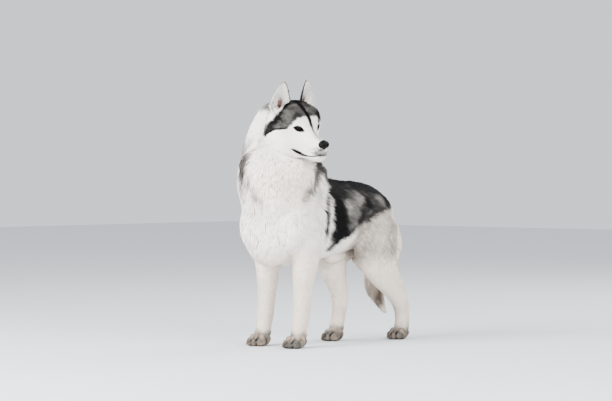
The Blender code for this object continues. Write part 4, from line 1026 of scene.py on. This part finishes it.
def turned(bm, name, profile, side):
    """Spins a profile of (radius, distance forward) round the line of sight of one eye."""
    for radius, forward in profile:
        bm.verts.new((radius, 0.0, forward))
    bm.verts.ensure_lookup_table()
    for a, b in zip(bm.verts[:], bm.verts[1:]):
        bm.edges.new((a, b))
    bmesh.ops.spin(
        bm, geom=bm.verts[:] + bm.edges[:], cent=(0, 0, 0), axis=(0, 0, 1), dvec=(0, 0, 0),
        angle=2 * math.pi, steps=72, use_merge=True,
    )
    bmesh.ops.remove_doubles(bm, verts=bm.verts, dist=0.000004)
    bmesh.ops.recalc_face_normals(bm, faces=bm.faces)
    place = Matrix.Translation(SHIFT) @ HEAD @ Matrix.Translation(mirrored(EYE_PLACE, side))
    place = place @ rotation(90, 0, side * (EYE_OUTWARD - GAZE_INWARD))
    bm.transform(place)
    obj = object_of(bm, name)
    obj.data.shade_smooth()
    return obj, place


def wet_eye_glass():
    """Glass painted from behind: colours at its vertices, smooth and wet as a real cornea."""
    made, tree = new_material("wet_eye_glass")
    colour = node(tree, "Attribute", {"attribute_name": "coat"})
    wet = {"Roughness": 0.05, "IOR": 1.376, "Specular IOR Level": 0.12}
    surface(tree, wet, Base_Color=colour.outputs["Color"])
    return made


eye_finish = wet_eye_glass()
for side, word in zip(SIDES, ("left", "right")):
    limbus = math.asin(IRIS_RADIUS / EYE_RADIUS)
    turns = [math.pi * (1 - k / 24) for k in range(25)]
    turns = [turn for turn in turns if turn > limbus + 0.05] + [limbus * (1 - k / 16) for k in range(17)]
    profile = []
    for turn in turns:
        bulge = CORNEA_BULGE * max(0.0, 1 - (turn / limbus) ** 2)
        reach = EYE_RADIUS + bulge
        profile.append((abs(reach * math.sin(turn)) if 0 < turn < math.pi else 0.0, reach * math.cos(turn)))
    ball, place = turned(bmesh.new(), f"eyeball_{word}", profile, side)
    local = np.array([place.inverted() @ v.co for v in ball.data.vertices])
    radius = np.hypot(local[:, 0], local[:, 1])
    angle = np.arctan2(local[:, 1], local[:, 0])
    rays = 0.5 + 0.25 * np.sin(angle * 31) + 0.25 * np.sin(angle * 47 + 1.3)
    share = np.clip((radius - PUPIL_RADIUS) / (IRIS_RADIUS - PUPIL_RADIUS), 0, 1)
    iris = IRIS_DARK + (IRIS_LIGHT - IRIS_DARK) * (rays * (1 - 0.6 * share**2))[:, None]
    pupil = fall(radius, PUPIL_RADIUS * 0.94, PUPIL_RADIUS * 1.08)
    values = paint(iris, (PUPIL_BLACK, pupil), (LIMBUS_DARK, ramp(radius, IRIS_RADIUS * 0.88, IRIS_RADIUS)))
    values[local[:, 2] < EYE_RADIUS * math.cos(limbus) - 0.0004] = EYE_WHITE
    store_colours(ball.data, values)
    ball.data.materials.append(eye_finish)
    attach(ball, "root")
    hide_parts(f"eye_{word}")

# The nose: moist black leather with fine pebbling, two comma-shaped nostrils and a groove down the
# middle. It is cast in one piece over the tip of the muzzle.

NOSE_CENTRE = Vector((0.0, -0.0925, -0.031))
NOSE_SLIT = metres([(8, -104.5, -32, 1.8, 2.4), (11.8, -101, -33, 1.6, 3.2), (16, -96, -34, 1.2, 4)])


def two_tones(tree, source, dark, light):
    """A ramp between two colours."""
    made = node(tree, "ValToRGB", {}, Fac=source.outputs["Fac"])
    made.color_ramp.elements[0].color = (*linear(dark), 1)
    made.color_ramp.elements[1].color = (*linear(light), 1)
    return made.outputs["Color"]


def nose_leather():
    """Moist skin: near black, pebbles of about 1 mm, shiny on their tops."""
    made, tree = new_material("moist_pebbled_nose_leather")
    place = node(tree, "TexCoord")
    pebbles = node(tree, "TexVoronoi", {"Scale": 900.0}, Vector=place.outputs["Object"])
    grain = node(tree, "TexNoise", {"Scale": 260.0, "Detail": 4.0}, Vector=place.outputs["Object"])
    bump = node(
        tree, "Bump", {"Strength": 0.55, "Distance": 0.0005, "invert": True}, Height=pebbles.outputs["Distance"]
    )
    gloss = node(tree, "MapRange", {"To Min": 0.36, "To Max": 0.55}, Value=grain.outputs["Fac"])
    surface(
        tree, {"Specular IOR Level": 0.1}, Base_Color=two_tones(tree, grain, "#020202", "#080808"),
        Roughness=gloss.outputs["Result"], Normal=bump.outputs["Normal"],
    )
    return made


bm = bmesh.new()
add_ball(bm, NOSE_CENTRE, (0.0172, 0.013, 0.0138))
for side in SIDES:
    add_ball(bm, NOSE_CENTRE + Vector((side * 0.0105, -0.001, -0.001)), (0.009, 0.011, 0.0115))
add_ball(bm, NOSE_CENTRE + Vector((0.0, 0.0, -0.01)), (0.01, 0.0095, 0.0085))
nose = cast(bm, "nose_leather", 0.0008, 3)
holes = []
for side in SIDES:
    bm = bmesh.new()
    add_ball(bm, NOSE_CENTRE + Vector((side * 0.0072, -0.0125, -0.0005)), (0.0033, 0.007, 0.0031), fine=3)
    holes.append(object_of(bm, "nostril"))
    bm = bmesh.new()
    rows = [(side * x, *rest) for x, *rest in NOSE_SLIT]
    add_tube(bm, rows, across=(0, 0, 1), around=12, steps=3)
    holes.append(closed_object(bm, "slit"))
combine(nose, holes, "DIFFERENCE")
groove, _, _ = mesh_arrays(nose.data)
middle = fall(np.abs(groove[:, 0]), 0.0002, 0.0016) * ramp(-groove[:, 1], 0.098, 0.102)
groove[:, 1] += 0.0011 * middle * ramp(-groove[:, 2], 0.024, 0.03)
nose.data.vertices.foreach_set("co", groove.ravel())
nose.data.transform(Matrix.Translation(SHIFT) @ HEAD)
nose.data.shade_smooth()
nose.data.materials.clear()
nose.data.materials.append(nose_leather())
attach(nose, "root")
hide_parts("nose")

# The claws: curved dark horn, blunt from walking, four on each paw, each set in the end of its toe.

CLAW_ROWS = metres([
    # along the toe from its middle
    (0, -13, 3, 3, 3.4), (0, -19, 2.2, 3, 3.4), (0, -23.5, -0.2, 2.5, 3), (0, -27.5, -3.5, 1.8, 2.2),
    (0, -30.5, -8.5, 0.6, 0.8),
])


def claw_horn():
    """Horn: dark brown grey, streaked along its length, half glossy from wear."""
    made, tree = new_material("dark_claw_horn")
    place = node(tree, "TexCoord")
    stretch = node(tree, "Mapping", {"Scale": (900.0, 200.0, 200.0)}, Vector=place.outputs["Object"])
    streaks = node(tree, "TexNoise", {"Scale": 1.0, "Detail": 3.0}, Vector=stretch.outputs[0])
    surface(tree, {"Roughness": 0.38}, Base_Color=two_tones(tree, streaks, "#1B1715", "#5A4C42"))
    return made


horn = claw_horn()
for name, (place, scale) in PAWS.items():
    bm = bmesh.new()
    for across, forward in TOES:
        claw = bmesh.new()
        add_tube(claw, CLAW_ROWS, around=14, steps=4)
        claw.transform(Matrix.Translation((across, -forward, TOE_HEIGHT)) @ rotation(0, 0, across * TOE_SPLAY))
        bmesh.ops.scale(claw, vec=(scale, scale, 1.0), verts=claw.verts)
        bmesh.ops.translate(claw, vec=place + SHIFT, verts=claw.verts)
        held = bpy.data.meshes.new("claw")
        claw.to_mesh(held)
        claw.free()
        bm.from_mesh(held)
        bpy.data.meshes.remove(held)
    claws = closed_object(bm, f"{name}_claws")
    claws.data.shade_smooth()
    claws.data.materials.append(horn)
    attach(claws, "root")
    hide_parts(*[f"{name}_claw_{k}" for k in (1, 2, 3, 4)])

# The coat: solid tapered tufts, each a bundle of hairs rooted in the hide, bent along it and gathered
# with its neighbours into clumps. They are 4 mm long on the muzzle and 60 mm on the ruff and tail.

SPACINGS = np.array((0.0012, 0.0014, 0.0017, 0.0021, 0.0026, 0.0032, 0.0039))
KINDS = [
    # shortest length, share of its width between neighbours, then for each ring: share of the length,
    # height above the hide, width and thickness
    (0.0, 0.73, [(-0.08, -0.3, 1.0, 1.0)]),
    (0.0125, 0.615, [(-0.06, -0.25, 0.8, 1.0), (0.45, 0.74, 1.0, 0.9)]),
    (0.033, 0.615, [(-0.05, -0.2, 0.75, 1.0), (0.46, 0.72, 1.0, 0.9)]),
]
KIND_WIDTHS = np.array((1.0, 0.9, 0.84))
KIND_GATHER = np.array((0.14, 0.18, 0.24))
KIND_TRIANGLES = np.array([6 * len(rings) - 2 for _, _, rings in KINDS])
MOST_TRIANGLES = 190000
CANDIDATES = 900000
CELLS = 10000
CLUMP_WIDTHS = 3.2
LENGTH_SPREAD = 0.13
NOSE_BARE = (0.019, 0.015, 0.0155)
LIP_BARE = metres([(-55, 0.8), (-28, 1.8), (-2, 1.8), (10, 0.4)])
TUFT_CORNERS = ((-1, -0.35), (0, 0.65), (1, -0.35))
TUFT_BODY = 0.24
FLOOR_GAP = 0.0004
STRAND_SPREAD = 60


def unwrap(obj):
    """Lays the hide out flat along its own creases, and gives each corner of its triangles a place."""
    bpy.ops.object.select_all(action="DESELECT")
    bpy.context.view_layer.objects.active = obj
    obj.select_set(True)
    bpy.ops.object.mode_set(mode="EDIT")
    bpy.ops.mesh.select_all(action="SELECT")
    bpy.ops.uv.smart_project(angle_limit=math.radians(70), island_margin=0.002)
    bpy.ops.object.mode_set(mode="OBJECT")
    layer = obj.data.uv_layers.active
    layer.name = "OFBake"
    obj.data.calc_loop_triangles()
    return read(layer.data, "uv", 2)[read(obj.data.loop_triangles, "loops", 3, np.int32)]


flat = unwrap(hide)
hide_tree = BVHTree.FromPolygons([Vector(p) for p in points], [tuple(f) for f in faces.tolist()])


def kind_of(length):
    """Which of the three kinds of tuft suits each length."""
    return (length > KINDS[1][0]).astype(int) + (length > KINDS[2][0])


def blend(corners, weights):
    """The weighted mean of each triangle's corners."""
    return (corners * weights[:, :, None]).sum(1)


def face_ways(corner):
    """For triangles, the way each faces, twice as long as its area."""
    return np.cross(corner[:, 1] - corner[:, 0], corner[:, 2] - corner[:, 0])


def cell_keys(places, size):
    """One number for the cube of space that holds each place."""
    cell = np.floor(places / size[:, None]).astype(np.int64) + CELLS // 2
    return cell @ np.array((CELLS**2, CELLS, 1))


def scatter(seed, candidates):
    """Roots spread evenly over the hide: triangle and the weights of its corners."""
    dice = np.random.default_rng(seed)
    corner = points[faces]
    share = np.array([row[1] for row in KINDS])[kind_of(sizes[faces, 0].mean(1))]
    spacing = np.clip(sizes[faces, 1].mean(1) * share, SPACINGS[0], SPACINGS[-1])
    chance = lengths(face_ways(corner)) / 2 / spacing**2
    which = dice.choice(len(faces), candidates, p=chance / chance.sum())
    u, v = dice.random(candidates), dice.random(candidates)
    flip = u + v > 1
    u[flip], v[flip] = 1 - u[flip], 1 - v[flip]
    weights = np.stack([1 - u - v, u, v], 1)
    grade = np.abs(np.log(spacing[which][:, None] / SPACINGS)).argmin(1)
    keys = grade * CELLS**3 + cell_keys(blend(corner[which], weights), SPACINGS[grade])
    _, keep = np.unique(keys, return_index=True)
    return which[keep], weights[keep]


def bare(h, p):
    """Places with no fur: eyes and their rims, nose, lips, soles."""
    found = p[:, 2] < 0.0035
    for side in SIDES:
        found |= lengths(h - np.array(mirrored(EYE_PLACE, side))) < 0.0133
        along, across, behind = eye_parts(h, side)
        reach = OPENING[0] + np.where(along < 0, 0.005, 0.003)
        found |= ((along / reach) ** 2 + (across / (OPENING[1] + 0.0018)) ** 2 < 1) & (behind < 0.004)
    found |= lengths((h - np.array(NOSE_CENTRE)) / NOSE_BARE) < 1
    lip_width = np.interp(h[:, 1], *zip(*LIP_BARE))
    return found | (lip_parts(h) < lip_width) & (h[:, 1] < 0.0095) & (h[:, 1] > -0.115)


def strand_fur(name, roughness):
    """Fur: dull bundles of hairs 0.1 mm thick, drawn as strands of about 0.7 mm so that they show."""
    made, tree = new_material(name)
    colour = node(tree, "Attribute", {"attribute_name": "coat"})
    across = node(tree, "UVMap", {"uv_map": "strands"})
    hairs = node(tree, "TexNoise", {"Scale": 1.0, "Detail": 2.0}, Vector=across.outputs["UV"])
    contrast = {"From Min": 0.35, "From Max": 0.65, "To Min": 0.85, "To Max": 1.1}
    tone = node(tree, "MapRange", contrast, Value=hairs.outputs["Fac"])
    shade = node(
        tree, "Mix", {"data_type": "RGBA", "blend_type": "MULTIPLY", "Factor": 1.0},
        i6=colour.outputs["Color"], i7=tone.outputs["Result"],
    )
    bump = node(tree, "Bump", {"Strength": 0.35, "Distance": 0.0006}, Height=hairs.outputs["Fac"])
    surface(
        tree, {"Roughness": roughness, "Specular IOR Level": 0.05},
        Base_Color=shade.outputs["Result"], Normal=bump.outputs["Normal"],
    )
    return made


which, weights = scatter(71, CANDIDATES)
in_rows = blend(points[faces[which]], weights) + to_rows
furred = ~bare(to_head(in_rows), in_rows)
which, weights, in_rows = which[furred], weights[furred], in_rows[furred]
in_head = to_head(in_rows)
roots = blend(points[faces[which]], weights)
root_normals = unit(blend(normals[faces[which]], weights))
root_flat = blend(flat[which], weights)
count = len(roots)
root_lies, root_sizes = groom_at(roots, root_normals)
kinds = kind_of(root_sizes[:, 0] * (1 + np.random.default_rng(75).normal(0, LENGTH_SPREAD, count)))

# clumps: each tuft leans towards the middle one of its group
dice = np.random.default_rng(72)
_, chosen = np.unique(cell_keys(roots, root_sizes[:, 1] * CLUMP_WIDTHS), return_index=True)
tree = KDTree(len(chosen))
for k, index in enumerate(chosen):
    tree.insert(roots[index], k)
tree.balance()
clump = np.array([tree.find(p)[1] for p in roots])
middle = chosen[clump]
swing = dice.normal(0, 0.11, len(chosen))[clump] + dice.normal(0, 0.08, count) + 0.14 * ripple(roots, 0.05, 73)
longer = (1 + dice.uniform(-0.14, 0.18, len(chosen)))[clump] * (1 + dice.uniform(-0.15, 0.15, count))
lift = (1 + dice.uniform(-0.1, 0.1, len(chosen)))[clump] * (1 + dice.uniform(-0.14, 0.14, count))
tint = dice.normal(0, 0.5, len(chosen))[clump] + dice.normal(0, 1.0, count)
side_way = np.cross(root_lies, root_normals)
root_lies = root_lies * np.cos(swing)[:, None] + side_way * np.sin(swing)[:, None]
tips = roots + root_lies * (root_sizes[:, 0] * longer)[:, None]
tips += (tips[middle] - tips) * KIND_GATHER[kinds][:, None]
widths = root_sizes[:, 1] * (1 + dice.uniform(-0.2, 0.2, count)) * KIND_WIDTHS[kinds]
depths = root_sizes[:, 2] * lift
ways = tips - roots

# A tuft shows the marking of the place that it covers, give or take a little; dark hair varies more.
jitter = ways * dice.normal(0, 0.09, count)[:, None]
low_colours, middle_colours, high_colours = [
    np.sqrt(coat_colours(roots + ways * share + jitter, root_normals)) for share in (0.1, 0.48, 0.92)
]
darkness = 1 - np.clip(middle_colours.mean(1) ** 2 * 1.25, 0, 1)
tones = np.exp(tint * (0.03 + 0.26 * darkness))


def follow(guesses, own_normals):
    """The nearest places of the hide, with normals half its own and half those of the roots."""
    found = np.empty((2, len(guesses), 3))
    for k, guess in enumerate(guesses):
        found[0, k], found[1, k], _, _ = hide_tree.find_nearest(guess)
    return found[0], unit(found[1] * 0.5 + own_normals * 0.5)


COATS = {
    # region: slot, roughness
    "face": ("face_coat", 0.72),
    "ears": ("ear_coat", 0.72),
    "neck": ("neck_coat", 0.68),
    "chest": ("neck_coat", 0.68),
    "left_side": ("body_coat", 0.66),
    "right_side": ("body_coat", 0.66),
    "left_legs": ("leg_coat", 0.72),
    "right_legs": ("leg_coat", 0.72),
    "tail": ("tail_coat", 0.68),
    "paws": ("paw_coat", 0.72),
}


def share_out(p, h):
    """Which region of the coat each root belongs to."""
    x, y, z = p.T
    tail_away, _ = from_path(p, [row[:3] for row in TAIL_ROWS])
    names = np.where(x > 0, "left_side", "right_side").astype(object)
    names[y < -0.15] = "chest"
    low = ((z < 0.3) & (np.abs(x) > 0.02)) | ((y > 0.15) & (z < 0.36))
    names[low] = np.where(x[low] > 0, "left_legs", "right_legs")
    names[z < 0.055] = "paws"
    names[z > 0.6 + (y + 0.03) * 0.52] = "neck"
    names[(tail_away < 0.032) & (y > 0.33)] = "tail"
    names[(lengths(h - SKULL_CENTRE) < 0.118) | on_muzzle(h) & (h[:, 1] > -0.12)] = "face"
    names[on_ear(h)] = "ears"
    return names


def split_up(mine):
    """The tufts in lists small enough for one mesh each."""
    triangles = KIND_TRIANGLES[kinds[mine]]
    if triangles.sum() < MOST_TRIANGLES:
        return [mine]
    axis = np.ptp(roots[mine], axis=0).argmax()
    order = mine[np.argsort(roots[mine, axis], kind="stable")]
    half = np.searchsorted(np.cumsum(KIND_TRIANGLES[kinds[order]]), triangles.sum() / 2)
    return split_up(order[:half]) + split_up(order[half:])


def tuft_rows(mine, rings):
    """Corners, soft normals, colours, strand places and baking places of tufts of one kind."""
    corners, soft, shades, strands, baked = [], [], [], [], []
    seeds = dice.random((len(mine), 2)) * STRAND_SPREAD
    for share, height, broad, thick in rings + [(1.0, 1.0, 0.0, 0.0)]:
        spots, normal = roots[mine] + ways[mine] * share, root_normals[mine]
        if share > 0 and (len(rings) > 1 or share < 1):
            spots, normal = follow(spots, normal)
        centre = spots + normal * (depths[mine] * height)[:, None]
        across = np.cross(along_skin(ways[mine], normal), normal)
        shade = (low_colours, middle_colours, high_colours)[int(share > 0.3) + int(share > 0.8)][mine]
        if len(rings) == 1:
            shade = 0.5 * shade + 0.5 * middle_colours[mine]
        grown = min(max(share, 0), 1)
        # painted shade: every tuft is 3 percent darker at its root than at its tip. This comes on top of dark
        # hair's real paler roots and darker tips.
        fade = (1 + darkness[mine] * (0.25 - 0.45 * min(1.1 * grown, 1))) * tones[mine] * (0.97 + 0.03 * grown)
        for aside, up in TUFT_CORNERS if broad else ((0, 0),):
            half = widths[mine] * (broad / 2 * aside)
            body = widths[mine] * (TUFT_BODY * thick * up)
            place = centre + across * half[:, None] + normal * body[:, None]
            place[:, 2] = np.maximum(place[:, 2], FLOOR_GAP)
            corners.append(place)
            soft.append(normal + across * (0.35 * aside))
            shades.append(shade**2 * fade[:, None])
            strands.append(seeds + ((aside + 1) * 2.6, share * 1.4))
            baked.append(root_flat[mine] + (aside * 0.0015, share * 0.0025))
    return [np.stack(rows, 1) for rows in (corners, soft, shades, strands, baked)]


def tuft_faces(rings):
    """Triangles of one tuft: its hidden end, its sides and its point."""
    pattern = [(2, 1, 0)]
    for low in range(0, 3 * rings - 3, 3):
        for a, b in ((0, 1), (1, 2), (2, 0)):
            pattern += [(low + a, low + b, low + 3 + b), (low + a, low + 3 + b, low + 3 + a)]
    last = 3 * rings - 3
    return np.array(pattern + [(last + a, last + b, last + 3) for a, b in ((0, 1), (1, 2), (2, 0))])


def build_coat(name, mine):
    """One piece of the coat from the tufts of these numbers."""
    gathered, triangles, start = [[], [], [], [], []], [], 0
    for kind, (_, _, rings) in enumerate(KINDS):
        some = mine[kinds[mine] == kind]
        if not len(some):
            continue
        rows = tuft_rows(some, rings)
        per = rows[0].shape[1]
        for held, row in zip(gathered, rows):
            held.append(row.reshape(-1, row.shape[2]))
        first = np.arange(len(some))[:, None, None] * per + start
        triangles.append((first + tuft_faces(len(rings))[None]).reshape(-1, 3))
        start += len(some) * per
    place, soft, shades, strands, baked = [np.concatenate(rows) for rows in gathered]
    triangles = np.concatenate(triangles)
    mesh = bpy.data.meshes.new(name)
    mesh.vertices.add(len(place))
    mesh.vertices.foreach_set("co", place.ravel())
    mesh.loops.add(len(triangles) * 3)
    mesh.loops.foreach_set("vertex_index", triangles.ravel())
    mesh.polygons.add(len(triangles))
    mesh.polygons.foreach_set("loop_start", np.arange(0, len(triangles) * 3, 3))
    mesh.polygons.foreach_set("use_smooth", np.ones(len(triangles), bool))
    mesh.update(calc_edges=True)
    store_colours(mesh, np.clip(shades, 0.002, 0.95))
    for layer_name, values in (("OFBake", baked), ("strands", strands)):
        layer = mesh.uv_layers.new(name=layer_name)
        layer.data.foreach_set("uv", values[triangles.ravel()].ravel())
    # soft normals, turned where they would face away from the side of the tuft that they light
    soft = unit(soft)[triangles]
    facing = unit(face_ways(place[triangles]), 1e-12)[:, None, :]
    soft += facing * np.maximum(0, 0.25 - (soft * facing).sum(2))[:, :, None]
    mesh.normals_split_custom_set(unit(soft).reshape(-1, 3))
    return add_object(name, mesh)


region_of = share_out(in_rows, in_head)
finishes = {slot: strand_fur(f"{slot}_fur", roughness) for slot, roughness in COATS.values()}
for region, (slot, _) in COATS.items():
    for number, mine in enumerate(split_up(np.nonzero(region_of == region)[0]), 1):
        coat = build_coat(f"coat_{region}_{number}", mine)
        coat.data.materials.append(finishes[slot])
        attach(coat, "root")

# The whiskers: stiff tapered white bristles set in rows on both sides of the muzzle, swept back.

BRISTLE_RADIUS = 0.00022
DROP = Vector((0, 0.004, -0.006))
dice = random.Random(74)
bm = bmesh.new()
for side in SIDES:
    for row, height in enumerate(WHISKER_HEIGHTS):
        for k in range(4):
            back = -0.083 + 0.007 * k + 0.002 * row
            start = Vector((side * (0.0205 + 0.0012 * k), back, height - 0.0012 * k))
            swept, rise = 0.75 + dice.uniform(-0.15, 0.15), 0.1 - 0.22 * row + dice.uniform(-0.08, 0.08)
            way = Vector((side, swept, rise)).normalized() * dice.uniform(0.026, 0.04)
            rows = []
            for share in (0.0, 0.35, 0.7, 1.0):
                spot = start + way * share + DROP * share**2
                rows.append((*spot, *[BRISTLE_RADIUS * (1.1 - share)] * 2))
            add_tube(bm, rows, across=(0, 0, 1), around=5, steps=2)
bm.transform(Matrix.Translation(SHIFT) @ HEAD)
whiskers = closed_object(bm, "whiskers")
bristle, tree = new_material("white_bristle")
surface(tree, {"Base Color": (*WHITE, 1), "Roughness": 0.4})
whiskers.data.materials.append(bristle)
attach(whiskers, "root")

# The stand for the picture: a pale floor, soft light from the left and a camera at 42 degrees.

floor_mesh = bmesh.new()
bmesh.ops.create_grid(floor_mesh, x_segments=1, y_segments=1, size=12.0)
floor = object_of(floor_mesh, "floor")
floor_finish, tree = new_material("pale_studio_floor")
surface(tree, {"Base Color": (*linear("#DDE0E4"), 1), "Roughness": 0.9})
floor.data.materials.append(floor_finish)

world = bpy.data.worlds.new("studio")
world.use_nodes = True
sky = world.node_tree.nodes["Background"].inputs
sky[0].default_value = (*linear("#DADDE1"), 1)
sky[1].default_value = 1.5
bpy.context.scene.world = world
LAMP_AIM = Vector((0, 0, 0.4))


def lamp(name, place, size, power):
    """A square soft light that looks at the middle of the dog."""
    data = bpy.data.lights.new(name, "AREA")
    data.size = size
    data.energy = power
    obj = add_object(name, data)
    obj.location = place
    obj.rotation_mode = "QUATERNION"
    obj.rotation_quaternion = (LAMP_AIM - Vector(place)).to_track_quat("-Z", "Y")


lamp("key", (-0.6, -4.2, 2.4), 2.6, 640)
lamp("fill", (4.6, -1.4, 1.8), 3.0, 350)
lamp("back", (0.4, 3.8, 3.2), 2.4, 140)

CAMERA_TURN = math.radians(42.0)
CAMERA_AWAY = 7.9726
CAMERA_ASIDE = 0.0305
CAMERA_HEIGHT = 0.6
SENSOR_WIDTH = 36.0
PHOTO_WIDTH = 612
FOCAL_PIXELS = 2400.0
# how far the horizon lies above the middle of the photo
HORIZON_PIXELS = 37.1
right = Vector((math.cos(CAMERA_TURN), math.sin(CAMERA_TURN), 0.0))
ahead = Vector((-math.sin(CAMERA_TURN), math.cos(CAMERA_TURN), 0.0))
camera_data = bpy.data.cameras.new("camera")
camera_data.lens = SENSOR_WIDTH * FOCAL_PIXELS / PHOTO_WIDTH
camera_data.sensor_width = SENSOR_WIDTH
camera_data.clip_end = 100.0
camera = add_object("camera", camera_data)
spot = -ahead * CAMERA_AWAY - right * CAMERA_ASIDE
camera.location = Vector((spot.x, spot.y, CAMERA_HEIGHT)) + SHIFT
pitch = math.atan(HORIZON_PIXELS / FOCAL_PIXELS)
look = ahead * math.cos(pitch) - Vector((0, 0, math.sin(pitch)))
camera.rotation_mode = "QUATERNION"
camera.rotation_quaternion = look.to_track_quat("-Z", "Y")
bpy.context.scene.camera = camera
